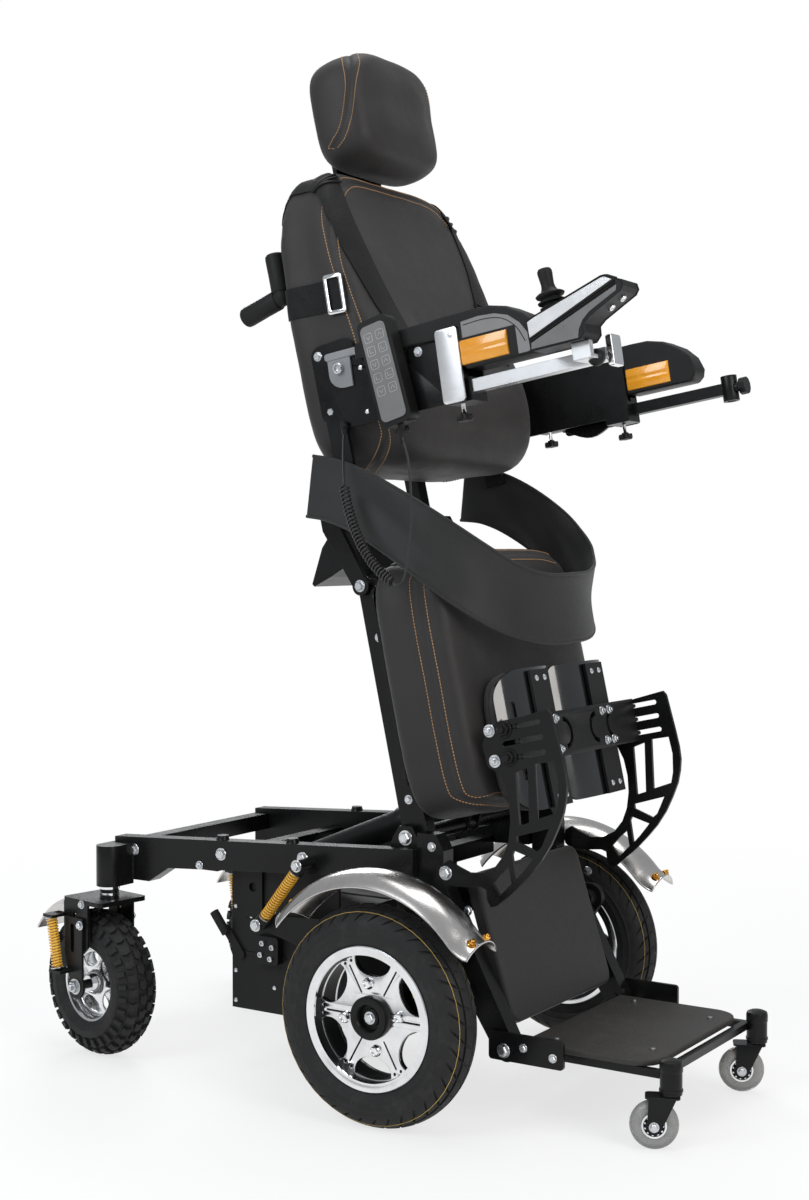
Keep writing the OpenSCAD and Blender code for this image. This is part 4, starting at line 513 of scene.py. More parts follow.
DULL = {"Specular_IOR_Level": 0.2}
# The grey(0.05) edge colour of the black coats lightens their edges: partly wear, partly painted highlight
BLACK_COAT = coat("frame_coat", grey(0.005), grey(0.009, -0.03), 0.22, 0.38, 620, 0.08, grey(0.05), **DULL)
DARK_COAT = coat("drive_coat", grey(0.006), grey(0.011), 0.34, 0.55, 420, 0.16, grey(0.05), **DULL)
PLASTIC = coat("moulded_black", grey(0.006), grey(0.011), 0.34, 0.5, 1000, 0.12, **DULL)
CASE = coat("battery_case", grey(0.008), grey(0.014, 0.02), 0.42, 0.62, 500, 0.3, grey(0.05), **DULL)
SOFT_TOP = coat("arm_foam", grey(0.007), grey(0.012, 0.03), 0.36, 0.5, 1300, 0.1, **DULL)
GREY_PLASTIC = coat("grey_moulding", grey(0.19), grey(0.24), 0.34, 0.46, 900, 0.08)
DARK_GREY = coat("pivot_grey", grey(0.21, -0.03), grey(0.27, -0.03), 0.3, 0.45, 800, 0.1)
GUNMETAL = coat("gunmetal_moulding", grey(0.12), grey(0.17), 0.26, 0.38, 1100, 0.05)
SILVER = coat("silver_moulding", grey(0.62), grey(0.72), 0.2, 0.32, 1100, 0.04, Metallic=0.6)
GLOSS = glossy_shell()
LEATHER = leather("black_leather", (0.0185, 0.0166, 0.0160, 1), (0.026, 0.0236, 0.0230, 1))
BELT_HIDE = leather("belt_leather", grey(0.013), grey(0.021))
WEBBING = woven("webbing", grey(0.003), grey(0.008), 2.6)
RUBBER = coat("grip_rubber", grey(0.009), grey(0.015, 0.03), 0.5, 0.68, 520, 0.2, **DULL)
TYRE = tyre_rubber()
STRIPE = coat("tyre_stripe", (0.42, 0.27, 0.05, 1), (0.60, 0.42, 0.10, 1), 0.5, 0.7)
ALLOY = metal("polished_alloy", (0.80, 0.81, 0.82, 1), 0.10, 0.24)
BRUSHED = metal("brushed_alloy", (0.80, 0.81, 0.82, 1), 0.26, 0.34, (12, 420, 420), 0.002)
FENDER = metal("fender_chrome", (0.66, 0.64, 0.62, 1), 0.16, 0.3)
CHROME = metal("rod_chrome", (0.86, 0.87, 0.88, 1), 0.04, 0.12)
ZINC = metal("zinc_plate", (0.66, 0.68, 0.70, 1), 0.18, 0.4, None, 0.1)
GOLD_BOLT = metal("gold_bolt", (0.80, 0.42, 0.09, 1), 0.14, 0.3)
SPRING = coat("spring_gold", (0.66, 0.33, 0.018, 1), (0.82, 0.47, 0.04, 1), 0.22, 0.38, 600, 0.08,
              (0.30, 0.17, 0.03, 1), Coat_Weight=0.5, Coat_Roughness=0.12)
LENS = lens_plastic()
POLYURETHANE = clear_grey()
MAT = foot_mat()
THREAD = coat("tan_thread", (0.34, 0.18, 0.075, 1), (0.56, 0.33, 0.16, 1), 0.55, 0.75, 2500, 0.2)
KEYPAD = coat("keypad_grey", grey(0.13), grey(0.17), 0.4, 0.5, 1500, 0.05)
MARKING = coat("key_marking", grey(0.40), grey(0.52), 0.45, 0.6)
CORD = coat("cord_cover", grey(0.008), grey(0.014), 0.34, 0.48, 900, 0.08)
# The record's slot that a new piece of each finish belongs to
SLOTS = {finish.name: slot for slot, finishes in {
    "black_plastic": (PLASTIC, SOFT_TOP, GREY_PLASTIC, GUNMETAL, SILVER, LENS, KEYPAD, MARKING, CORD),
    "frame_black": (BLACK_COAT, DARK_GREY),
    "polished_alloy": (ALLOY, BRUSHED, FENDER, DARK_COAT),
    "rod_chrome": (CHROME, ZINC),
    "spring_gold": (SPRING, GOLD_BOLT),
    "black_leather": (LEATHER, BELT_HIDE, THREAD),
    "tyre_black": (TYRE, STRIPE),
    "webbing": (WEBBING,),
    "gloss_shell": (GLOSS,),
    "grip_rubber": (RUBBER,),
    "grey_polyurethane": (POLYURETHANE,),
}.items() for finish in finishes}


def aim(made, at, look):
    made.location = at
    made.rotation_euler = look.to_track_quat("-Z", "Y").to_euler()


# Camera at the photograph's place and angle
CAMERA_AT = (1541, -2616, 905.3)
CAMERA_TURN, CAMERA_DIP, CAMERA_F = 33.0, 1.7, 1783.8
SENSOR, IMAGE_LONG_SIDE = 36, 1200
camera = linked("photo camera", put(
    bpy.data.cameras.new("photo camera"), sensor_width=SENSOR, lens=CAMERA_F * SENSOR / IMAGE_LONG_SIDE, clip_end=60))
ahead, down = polar(1, -CAMERA_DIP)
across = polar(ahead, 90 + CAMERA_TURN)
aim(camera, BASE @ Vector(CAMERA_AT), Vector((*across, down)))
scene.camera = camera

# Hand control cord: down from the arm, through its curls, and up to the hand control
CORD_D, CURL_R, CURLS, CURL_STEPS = 4.2, 6.5, 30, 14
CORD_RUN = [(11, -258.05, -99), (11, -260.45, -112), (14, -266, -142), (20, -274, -172), (23, -277, -188)]
CURL_AXIS = [(23, -277, -188), (29, -279, -210), (38, -282, -234), (51, -286, -260), (69, -291, -287),
             (91, -295, -312), (113, -299, -330), (133, -302, -343)]
HAND_DOWN, HAND_OUT = polar(HAND_LEN, HAND_LEAN)
HAND_END = (HAND_X + HAND_OUT, -313, HAND_Z - HAND_DOWN - 0.4)
CORD_UP = [(133, -302, -343), (141, -303, -346), (149, -304, -344), (155, -305, -336), (160, -306, -320),
           (167, -308, -287), (172, -310, -247), (173, -312, -201), (168, -313, -150),
           (HAND_END[0], HAND_END[1], HAND_END[2] - 12), HAND_END]


def curled(axis):
    made = []
    total = CURLS * CURL_STEPS
    line = smooth_path(axis, 60)
    line = [line[0]] + even_steps(line, path_length(line) / total)[1:total] + [line[-1]]
    for i, centre in enumerate(line):
        along = heading(line, i)
        a = along.cross(Vector((0, 1, 0))).normalized()
        b = along.cross(a)
        grow = min(1, 2 * i / CURL_STEPS, 2 * (total - i) / CURL_STEPS)
        x, y = polar(CURL_R * grow, 360 * i / CURL_STEPS)
        made.append(centre + a * x + b * y)
    return made


def hand_cord():
    at = leaned(ARM_X, ARM_Z)
    route = smooth_path(CORD_RUN, 6)[:-1] + curled(CURL_AXIS)[:-1] + smooth_path(CORD_UP, 6)
    route = [at @ p for p in route]
    curve = put(bpy.data.curves.new("hand_cord", "CURVE"), dimensions="3D", bevel_depth=CORD_D / 2 * MM,
                bevel_resolution=2, use_fill_caps=True)
    spline = curve.splines.new("POLY")
    spline.points.add(len(route) - 1)
    for point, p in zip(spline.points, route):
        point.co = (*p, 1)
    spline.use_smooth = True
    cord = linked("hand_cord", curve)
    dress(cord, CORD, "arm_right", ("handset_cord", "handset_curl"))
    gland = Shape().turned([(0, 13), (6, 13), (6, 8), (6.8, 7), (6.8, 3), (5.2, 2), (4.2, -6), (2.4, -9), (0, -9)],
                           at @ move(*CORD_RUN[0]), 20)
    gland = gland.make("cord_gland", PLASTIC, "arm_right")
    profile = [(0, -2), (5.4, -2), (5.4, 3)]
    for k in range(7):
        rib, neck, z = 5.2 - 0.33 * k, 4.2 - 0.27 * k, 3.4 * k
        profile += [(rib, z + 4), (rib, z + 5.8), (neck, z + 6.2), (neck, z + 7.2)]
    relief = Shape().turned(profile + [(0, 29)], facing(at, HAND_END, Vector(CORD_UP[-2]) - Vector(HAND_END)), 18)
    relief = relief.make("cord_relief", RUBBER, "arm_right")
    tuple(route[0])
    path_length(route)


hand_cord()


# Finishes of the frame's own nodes, and their eased edges
def both_sides(*names):
    return [f"{name}_{side}" for name in names for side in SIDES]


for finish, ease, names in (
    (BLACK_COAT, 1.2, ["side_rails", "cross_tubes", "leg_posts", "seat_frame", "link_bar", "knee_plates"]),
    (BLACK_COAT, 0.0, ["back_frame", "footplate_frame"]),
    (BLACK_COAT, 0.8, both_sides("caster_fork", "caster_arm", "front_fork", "arm_panel")),
    (BLACK_COAT, 0.8, ["tray_bar", "headrest_stem"]),
    (DARK_COAT, 0.7, ["knee_bar"]),
    (DARK_COAT, 0.0, both_sides("drive_unit")),
    (PLASTIC, 0.0, ["actuator_body", "joystick_gimbal"]),
    (PLASTIC, 1.6, ["controller"]),
    (PLASTIC, 1.2, ["handset"]),
    (CASE, 1.5, ["battery_box"]),
    (CASE, 2.0, ["batteries"]),
    (RUBBER, 0.0, both_sides("release_lever") + ["joystick", "push_handles"]),
    (LEATHER, 5.0, ["calf_panel"]),
    (MAT, 2.5, ["footplate_board"]),
    (FENDER, 0.0, both_sides("fender")),
    (BRUSHED, 1.0, ["joystick_bar"]),
    (CHROME, 0.8, ["actuator_rod"]),
):
    for name in names:
        made = nodes[name]
        paint(made, finish)
        if ease:
            modify(made, "WELD", merge_threshold=1e-5)
            modify(made, "DECIMATE", decimate_type="DISSOLVE", angle_limit=math.radians(0.6))
            eased(made, ease)


# Fasteners, gathered by body and kind; their profiles are shares of a size
FASTENER_KINDS = {"zinc": ZINC, "dark": PLASTIC, "gold": GOLD_BOLT, "chrome": CHROME}
gathered = {}


def fasteners(body, kind="zinc"):
    return gathered.setdefault((body, kind), Shape())


def hex_bolt(shape, at, size, stud=False):
    """A washer and a hexagon head, or a nut with the end of its bolt."""
    at = at @ Matrix.Scale(size, 4)
    shape.turned([(0, 0), (1.26, 0), (1.3, 0.1), (1.24, 0.2), (0, 0.2)], at, 28)
    shape.turned([(0, 0.18), (1, 0.18), (1, 0.66), (0.87, 0.8), (0, 0.8)], at, 6)
    top = [(0.52, 0.7), (0.52, 1.2), (0.42, 1.3), (0, 1.3)] if stud else [(0.7, 0.79), (0.62, 0.86), (0, 0.86)]
    shape.turned([(0, 0.6)] + top, at, 20)


def socket_screw(shape, at, size):
    at = at @ Matrix.Scale(size, 4)
    shape.turned([(0, 0), (1, 0), (1, 0.7), (0.86, 0.86), (0.6, 0.86)], at, 24)
    shape.turned([(0.6, 0.86), (0.56, 0.4), (0, 0.34)], at, 6)


def pan_screw(shape, at, size):
    shape.turned([(0, 0), (1, 0), (0.97, 0.22), (0.8, 0.44), (0.45, 0.58), (0, 0.62)],
                 at @ Matrix.Scale(size, 4), 20)


KNOB_R, KNOB_REACH, KNOB_PITCH, KNOB_LOBES = 12, 15, 1.6, 6


def star_knob(body, at):
    """A lobed hand knob on a threaded shaft that comes out of a face."""
    head, knob = at @ move(0, 0, KNOB_REACH) @ Matrix.Scale(KNOB_R, 4), fasteners(body, "dark")
    knob.turned([(0, 0), (0.5, 0), (0.55, 0.3)], head, 24)
    knob.turned([(0.5, 0.2), (0.95, 0.25), (1, 0.4), (1, 0.85), (0.9, 1), (0.3, 1.05), (0, 1)], head, 48,
                lobes=KNOB_LOBES)
    profile = [(0, -1)]
    for k in range(int(KNOB_REACH / KNOB_PITCH) + 1):
        profile += [(0.3 * KNOB_R, KNOB_PITCH * k - 1), (0.26 * KNOB_R, KNOB_PITCH * k - 0.2)]
    fasteners(body, "chrome").turned(profile + [(0, KNOB_REACH + 0.5)], at, 16)


def side_row(form, body, base, size, places, kind="zinc", *more):
    """The same fastener on both side faces; places are X, Y from the middle and Z."""
    for side in BOTH:
        for place in places:
            form(fasteners(body, kind), beside(base, side, *place), size, *more)


BOX_Y, BOX_SOCKET_Y = 190, 205
BOX_SCREWS = [(-384, 118), (-172, 118), (-384, 282), (-300, 282), (-172, 282), (-384, 170), (-350, 268), (-300, 150)]
BOX_SOCKET_SCREWS = [(-314, 228), (-293, 223), (-318, 208), (-297, 203)]
RAIL_X, RAIL_Y, RAIL_Z, RAIL_RISE = -636, 220, 363, math.tan(math.radians(3))
RAIL_BOLTS = [(x, RAIL_Y, RAIL_Z + (x - RAIL_X) * RAIL_RISE) for x in (-392, -218, -590)]
side_row(hex_bolt, "chassis", BASE, 8.5, RAIL_BOLTS)
side_row(hex_bolt, "chassis", BASE, 10, [(-32, 190, 432)])
side_row(hex_bolt, "chassis", BASE, 6, [(-440, RAIL_Y, 352)], "zinc", True)
side_row(hex_bolt, "chassis", BASE, 9, [(58, 212, 387), (165, 213.2, 119)])
side_row(hex_bolt, "chassis", BASE, 6, [(28, 206, 425), (96, 206, 330)])
side_row(hex_bolt, "chassis", KNEE, 8, [(-48, 212, 24), (-48, 212, -24)], "zinc", True)
side_row(hex_bolt, "chassis", KNEE, 11, [(-22, 212, -22), (-22, 212, 22)], "dark", True)
side_row(pan_screw, "chassis", BASE, 4.2, [(x, BOX_Y, z) for x, z in BOX_SCREWS])
side_row(socket_screw, "chassis", BASE, 5, [(x, BOX_SOCKET_Y, z) for x, z in BOX_SOCKET_SCREWS])
side_row(hex_bolt, "footrest", BASE, 5.5, [(200, 213, 128), (252, 213, 120)])
side_row(hex_bolt, "back", BACK, 6.2, [(38, 240.5, 376), (44, 240.5, 281)])
side_row(hex_bolt, "back", BACK, 8, [(0, 188, 0)])
side_row(hex_bolt, "seat", SEAT, 6, [(10, 176, 60), (10, 176, 330)])
for x, z in ((-102, 394), (-192.688, 803.068)):
    hex_bolt(fasteners("link"), beside(BASE, -1, x, 44, z), 8)
# Bolts through the knee bar, rivets of its strips, and screws in the footplate
KNEE_Y = 96
for side in BOTH:
    for y in (side * KNEE_Y - 13, side * KNEE_Y + 13):
        for z in (-25, 25):
            hex_bolt(fasteners("knee_block"), facing(KNEE, (0, y, z), (1, 0, 0), 15), 6, True)
        for z in (-97, 94):
            pan_screw(fasteners("knee_block"), facing(KNEE, (-5, y, z), (1, 0, 0)), 5)
    for x, y in ((220, 140), (372, 110)):
        socket_screw(fasteners("footrest"), facing(BASE, (x, side * y, 127), (0, 0, 1)), 4)

# Socket block, hanger bracket, lid seam and corner strip on the battery box
plates = Shape()
for side in BOTH:
    at = BASE @ UPRIGHT
    plates.prism(rounded(-330, 192, -282, 240, 6), side * BOX_Y, side * BOX_SOCKET_Y, at)
    plates.pierced(rounded(-366, 268, -322, 352, 4), [rounded(-350, 312, -334, 328, 7.9)],
                   *sorted((side * BOX_Y, side * (BOX_Y + 6))), at)
    plates.prism(rounded(-390, 200, -274, 206, 2.5), side * (BOX_Y - 0.5), side * (BOX_Y + 2), at)
    plates.prism(rounded(-210, 112, -170, 250, 5), side * (BOX_Y - 0.5), side * (BOX_Y + 3), at)
plates.make("box_fittings", PLASTIC, "chassis", ease=1.2)


def weld(shape, start, end, steps, r, sway, swell):
    """An uneven bead between two points; sway and swell are an amount and its pace."""
    places = range(steps + 1)
    line = [Vector(start).lerp(Vector(end), k / steps) for k in places]
    line = [p + Vector((0, 0, sway[0] * math.sin(k * sway[1]))) for k, p in enumerate(line)]
    shape.swept(line, [r + swell[0] * math.sin(k * swell[1]) for k in places], BASE, 8)


# Welds where the cross tubes and caster heads meet the rails
welds = Shape()
for side in BOTH:
    for x in (-593, -639):
        weld(welds, (x, side * 220.5, 312), (x, side * 220.5, 376), 16, 2.2, (0.6, 2.4), (0.5, 2.1))
    weld(welds, (2, side * 190, 421), (2, side * 206, 421), 10, 2.0, (0.4, 2.3), (0.4, 2.3))
welds.make("rail_welds", BLACK_COAT, "chassis", 60)
# Caps, seals and fins of the lift motor
motor = Shape()
beside_rod = ACTUATOR @ move(0, 50, 0)
motor.turned([(24.2, 300), (26.5, 301), (26.5, 316), (25, 319), (13, 321), (10.4, 322)], ACTUATOR, 40)
motor.turned([(24.1, 60), (25.6, 61), (25.6, 70), (24.1, 71)], ACTUATOR, 40)
for z in range(84, 173, 11):
    motor.turned([(22.1, z), (23.4, z + 1), (23.4, z + 4), (22.1, z + 5)], beside_rod)
motor.turned([(22, 200), (21, 203), (16, 205), (0, 206)], beside_rod)
motor.make("lift_motor_fittings", PLASTIC, "chassis")
# Caps of the front caster housings
caps = Shape()
for side in BOTH:
    at = BASE @ move(FRONT_X, side * FRONT_Y, 0)
    caps.turned([(17.2, 118), (17.8, 119), (17.8, 130), (16.5, 134), (11, 136.5), (0, 137)], at, 36)
    caps.turned([(17.2, 88), (18.2, 88.6), (18.2, 92), (17.2, 92.6)], at, 36)
caps.make("housing_caps", PLASTIC, "footrest")


# Wheels
def wheel_at(base, x, y, z, side):
    """Matrix whose Z points out of the wheel's outer face."""
    return base @ move(x, y, z) @ spin(-90 * side, "X")


TREAD_PITCHES = 38
TREAD_COLUMNS = [(0.0, 0), (0.035, 1), (0.15, 1), (0.185, 0), (0.4, 0), (0.6, 0), (0.8, 0)]
TREAD_ROWS = [-125, -118, -110, -103, -101, -99, -92, -86, -84, -82, -76, -70, -67, -65, -58, -51, -44, -38, -33,
              -29.2, -28.2, -23.6, -22.6, -17, -11, -5.2, -4.2]
TREAD_ROWS = TREAD_ROWS + [-a for a in TREAD_ROWS[::-1]]
BELLY, BEAD_R, BEAD_Y = 38, 113.5, 26
STRIPE_R, STRIPE_ANGLE = 37.7, 41


def tread_depth(a, cut):
    """Depth below the crown by angle over it: grooves, cuts, and rings that stand out of the walls."""
    if 23 < a < 28.7:
        return 3.2
    if 30 < a < 66 and cut:
        return 3.4 * min(1, (66 - a) / 12)
    if 4.5 < a < 23 and cut:
        return 1.6
    if a < 4.7:
        return 1.2
    return -0.9 if 83 < a < 85 or 100 < a < 102 else 0.0


def drive_tyre(name, at):
    """Tyre with ribs round its crown, slanted shoulder cuts and moulded rings on its walls."""
    body = f"drive_wheel_{name}"
    middle = DRIVE_R - BELLY
    rows = []
    for angle in [None, *TREAD_ROWS, None]:
        row = []
        for i in range(TREAD_PITCHES * len(TREAD_COLUMNS)):
            share, cut = TREAD_COLUMNS[i % len(TREAD_COLUMNS)]
            turn = i // len(TREAD_COLUMNS) + share
            r, y = BEAD_R, BEAD_Y if rows else -BEAD_Y
            if angle is not None:
                a = abs(angle)
                r, y = polar(BELLY - 0.2 - tread_depth(a, cut), angle)
                r += middle
                turn += 0.9 * max(0, a - 23) / 40 + 0.25 * min(a, 23) / 23 + (0 if angle > 0 else 0.5)
            row.append((*polar(r, 360 * turn / TREAD_PITCHES), y))
        rows.append(row)
    tyre = Shape().loft(rows, at, closed=True)
    tyre.make(f"drive_tyre_{name}_tread", TYRE, body, 32, replaces=(f"drive_tyre_{name}",))
    stripe = Shape()
    out, y = polar(STRIPE_R, STRIPE_ANGLE)
    for s in BOTH:
        line = [(*polar(middle + out + 0.25 * math.sin(k * 1.7), 2 * k), s * y) for k in range(180)]
        stripe.swept(line, 0.5, at, 6, True)
    stripe.make(f"drive_tyre_{name}_line", STRIPE, body)


def window(outer, inner, half):
    """A half-moon opening between two spokes, its round side towards the hub."""
    edge, reach = polar(outer, half)
    turns = [math.pi * k / 16 for k in range(1, 16)]
    bow = [(edge - (edge - inner) * math.sin(t) ** 0.8, reach * math.cos(t)) for t in turns]
    return arc(outer, -half, half, 10) + bow


RIM_LIP = [(99.4, 31.5), (99.4, 27), (106, 24.5), (109, 28), (113.9, 28.8), (114, 32), (112.5, 33.2), (108, 33.2),
           (104, 32)]
WHEEL_NUT = [(0, 0), (9.4, 0), (9.4, 2), (8.2, 3.4), (7.4, 8.2), (6.2, 9.4), (5, 9.6), (4.4, 6), (0, 5.6)]
VALVE = [(0, 0), (3, 0), (3, 9), (2.2, 10), (2.2, 16), (3, 16.6), (3, 22), (0, 23)]
VALVE_ANGLE = math.degrees(0.52)


def drive_rim(name, at):
    """Alloy wheel: dark barrel, bright lips, a grooved star and a bolted black centre."""
    body = f"drive_wheel_{name}"
    barrel = Shape()
    barrel.turned([(99.5, -33), (106, -33), (106, -27), (103, -22), (103, 22), (106, 27), (106, 31), (99.5, 31)],
                  at, 96, True)
    barrel.turned([(24, -28), (34, -26), (40, 0), (40, 4), (12, 4), (12, -28)], at, 48, True)
    star = circle(101.5, 96)
    windows = [turned_outline(window(98, 63, 20.5), 30 + 60 * k) for k in range(6)]
    barrel.pierced(star, windows, 2.6, 9.4, at)
    barrel.make(f"drive_rim_{name}_barrel", DARK_COAT, body, 30, replaces=(f"drive_rim_{name}",))
    bright = Shape()
    for s in (1, -1):
        bright.turned([(r, s * z) for r, z in RIM_LIP], at, 128, True)
    grooves = []
    for k in range(6):
        grooves.append(turned_outline(rounded(41, -1.2, 88, 1.2, 1.1, 3), 60 * k))
        for y in (-6.5, 6.5):
            grooves.append(turned_outline([(93 + x, y + z) for x, z in circle(2.1, 12)], 60 * k))
    bright.pierced(star, windows + grooves, 9.4, 13, at, 0.9)
    bright.make(f"drive_rim_{name}_star", ALLOY, body, 30)
    cap = Shape()
    cap.turned([(0, 12), (33, 12), (34, 14), (34, 25), (32.5, 27.5), (27, 28.2), (22, 27.5), (20, 25), (19.4, 16),
                (0, 15.5)], at, 56)
    cap.turned([(14, 15), (14, 19), (12, 20), (0, 20)], at, 40)
    cap.make(f"drive_rim_{name}_cap", PLASTIC, body)
    hex_bolt(fasteners(body), at @ move(0, 0, 19.8), 8)
    for k in range(4):
        fasteners(body, "chrome").turned(WHEEL_NUT, at @ move(*polar(52, 90 * k + 8), 12.8), 24)
    inward = (*polar(-1, VALVE_ANGLE), 0.25)
    fasteners(body, "gold").turned(VALVE, facing(at, (*polar(100, VALVE_ANGLE), -4), inward), 14)


FENDER_R, TONGUE_R, FENDER_DROP, FENDER_HALF = 230, 55, 24, 44
FENDER_REAR, TONGUE_FROM, TONGUE_TO = 142, 42, 12.2


def fender_point(angle, y):
    """A point of the fender's outer face, by angle on its arch or past its front on the tongue."""
    crown = (FENDER_HALF ** 2 + FENDER_DROP ** 2) / (2 * FENDER_DROP)
    drop = crown - math.sqrt(crown ** 2 - y ** 2)
    x, z = polar(FENDER_R - drop, angle)
    if angle < TONGUE_FROM:
        x, z = polar(FENDER_R + TONGUE_R, TONGUE_FROM)
        dx, dz = polar(TONGUE_R + drop, 180 + 2 * TONGUE_FROM - angle)
        x, z = x + dx, z + dz
    return Vector((x, y, DRIVE_R + z))


def fender_trim(name, side):
    body = f"drive_unit_{name}"
    at = BASE @ move(0, side * DRIVE_Y, 0)
    edge = FENDER_HALF - 0.6
    angles = [FENDER_REAR - 2 * k for k in range(66)]
    across = [edge - 2 * edge * k / 16 for k in range(1, 16)]
    loop = [fender_point(a, edge) for a in angles] + [fender_point(TONGUE_TO, y) for y in across]
    loop += [fender_point(a, -edge) for a in angles[::-1]] + [fender_point(FENDER_REAR, -y) for y in across]
    Shape().swept(loop, 1.7, at, 8, True).make(f"fender_{name}_rolled_edge", FENDER, body)
    x, z = polar(-1, 242)
    for s in BOTH:
        hex_bolt(fasteners(body, "gold"), facing(at, fender_point(22, 21 * s), (x, 0.12 * s, z)), 6.2, True)
    x, z = polar(1, 136)
    hex_bolt(fasteners(body, "gold"), facing(at, fender_point(136, 0), (x, 0, z)), 4.5)
    for x, z in ((90, 280), (-60, 262)):
        hex_bolt(fasteners(body), beside(BASE, side, x, 238, z), 9)
    for k in range(6):
        x, z = polar(38, 60 * k + 20)
        socket_screw(fasteners(body, "dark"), beside(BASE, side, x, 277, DRIVE_R + z), 3.6)


COIL_R, WIRE_R, COIL_STEPS = 8.4, 1.75, 18
SPRING_CUP = [(0, -1), (10.4, -1), (11.4, 0.2), (11.4, 1.6), (9.8, 2.0), (9.8, 0.8), (0, 0.8)]


def helix(low, high, turns):
    """A wire's line from one cup to the other."""
    along = high - low
    a = along.orthogonal().normalized()
    b = along.normalized().cross(a)
    made = []
    for i in range(turns * COIL_STEPS + 1):
        x, y = polar(COIL_R, 360 * i / COIL_STEPS)
        made.append(low + along * (i / (turns * COIL_STEPS)) + a * x + b * y)
    return made


def coil(name, base, runs, turns, core, bodies):
    """Springs between their cups, each on a guide rod that stops short of the upper cup. Bodies say whether they
    carry the high cups; the springs ride on the first body."""
    wire, rods, cups = Shape(), Shape(), {body: Shape() for body in bodies}
    home = list(bodies)[0]
    for low, high in runs:
        low, high = Vector(low), Vector(high)
        along, length = (high - low).normalized(), (high - low).length
        wire.swept(helix(low + along * 1.6, high - along * 1.6, turns), WIRE_R, base, 9)
        rods.turned([(0, 0), (core, 0), (core, length - 12), (core - 1, length - 10), (0, length - 10)],
                    facing(base, low, along), 24)
        for body, at_high in bodies.items():
            end, way = (high, -along) if at_high else (low, along)
            cups[body].turned(SPRING_CUP, facing(base, end - way, way), 28)
    anchor = base @ (high if bodies[home] else low)
    for shape, part, smooth, replaces in ((wire, "coil", 60, (name,)), (rods, "rod", 35, ())):
        made = shape.make(f"{name}_{part}", SPRING, home, smooth, replaces=replaces)
        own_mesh(made)
    for body, at_high in bodies.items():
        cups[body].make(f"{name}_{'high' if at_high else 'low'}_cups", ZINC, body)


# Ends of the drive springs, and how far their cups stand off the eyes
SPRING_FOOT, SPRING_EYE, SPRING_Y, EYE_BOLT_Y, CUP_OFF = (-285, 272), (-200, 380), 250, 262, 16.4
for name, side in SIDES.items():
    at = wheel_at(BASE, 0, side * DRIVE_Y, DRIVE_R, side)
    drive_tyre(name, at)
    drive_rim(name, at)
    fender_trim(name, side)
    low, high = (Vector((x, side * SPRING_Y, z)) for x, z in (SPRING_FOOT, SPRING_EYE))
    off = (high - low).normalized() * CUP_OFF
    coil(f"drive_spring_{name}", BASE, [(low + off, high - off)], turns=20, core=6.0,
         bodies={f"drive_unit_{name}": False, "chassis": True})
    for part, body, (x, z) in (("eye", "chassis", SPRING_EYE), ("foot", f"drive_unit_{name}", SPRING_FOOT)):
        bolt = Shape()
        hex_bolt(bolt, beside(BASE, side, x, EYE_BOLT_Y, z), 8)
        bolt.make(f"spring_{part}_{name}_bolt", ZINC, body, 28)


LUG_COUNT = 30
# Rows of lugs: from and to angle over the crown, width as a share of the pitch, stagger, slant
LUG_ROWS = [(-19, -2, 0.62, 0.0, 0.30), (2, 19, 0.62, 0.5, 0.30), (-49, -25, 0.58, 0.5, 0.22),
            (25, 49, 0.58, 0.0, 0.22), (-80, -55, 0.42, 0.0, 0.0), (55, 80, 0.42, 0.5, 0.0)]
LUG_FACES = [[6, 7, 9, 8], [8, 9, 11, 10], [0, 2, 8, 6], [2, 4, 10, 8], [1, 7, 9, 3], [3, 9, 11, 5],
             [0, 6, 7, 1], [4, 5, 11, 10], [0, 1, 3, 2], [2, 3, 5, 4]]
CASTER_CROWN, CASTER_BEAD = 90, (68.4, 27)
CASTER_LIP = [(58, 14), (60, 24), (63, 28.5), (67.6, 30.4), (69.2, 29.6), (69.2, 27.6), (66, 26), (62, 20), (60.4, 12)]


def caster_wheel(name, side):
    """Block-tread tyre on a bright dished rim with rounded openings."""
    body = f"caster_wheel_{name}"
    at = wheel_at(CASTER[name], CASTER_TRAIL, 0, CASTER_R, side)
    section = [(CASTER_BEAD[0], -CASTER_BEAD[1])]
    for k in range(49):
        a = -127 + 254 * k / 48
        low = 5.6 * max(0.0, min(1.0, (86 - abs(a)) / 8))
        x, z = polar(39.6 - low + (0.9 if 100 < abs(a) < 104 else 0.0), a)
        section.append((CASTER_CROWN + x, z))
    tyre = Shape().turned(section + [CASTER_BEAD], at, 120, True)
    for start, end, width, stagger, slant in LUG_ROWS:
        mid = (start + end) / 2
        for i in range(LUG_COUNT):
            points = []
            for r, shrink in ((33, 1.0), (39.85, 0.84)):
                for a in (start, mid, end):
                    a = mid + (a - mid) * (0.5 + shrink / 2)
                    x, z = polar(r, a)
                    for s in (-0.5, 0.5):
                        turn = i + stagger + width * shrink * s + slant * abs(a - mid) / (end - start)
                        points.append((*polar(CASTER_CROWN + x, 360 / LUG_COUNT * turn), z))
            tyre.add(points, LUG_FACES, at)
    tyre.make(f"caster_tyre_{name}", TYRE, body, 30, replaces=(body,))
    rim = Shape()
    holes = [turned_outline(window(54, 29, 24), 36 + 72 * k) for k in range(5)]
    for s in BOTH:
        rim.turned([(r, s * z) for r, z in CASTER_LIP], at, 96, True)
        rim.pierced(circle(61, 90), holes, s * 11 - 1.6, s * 11 + 1.6, at, 0.8)
    rim.turned([(60.6, -14), (62.4, -14), (62.4, 14), (60.6, 14)], at, 96, True)
    rim.turned([(8.3, -30), (14, -30), (17, -26), (23, -14), (23, 14), (17, 26), (14, 30), (8.3, 30)], at, 48, True)
    rim.make(f"caster_rim_{name}", ALLOY, body, 30)


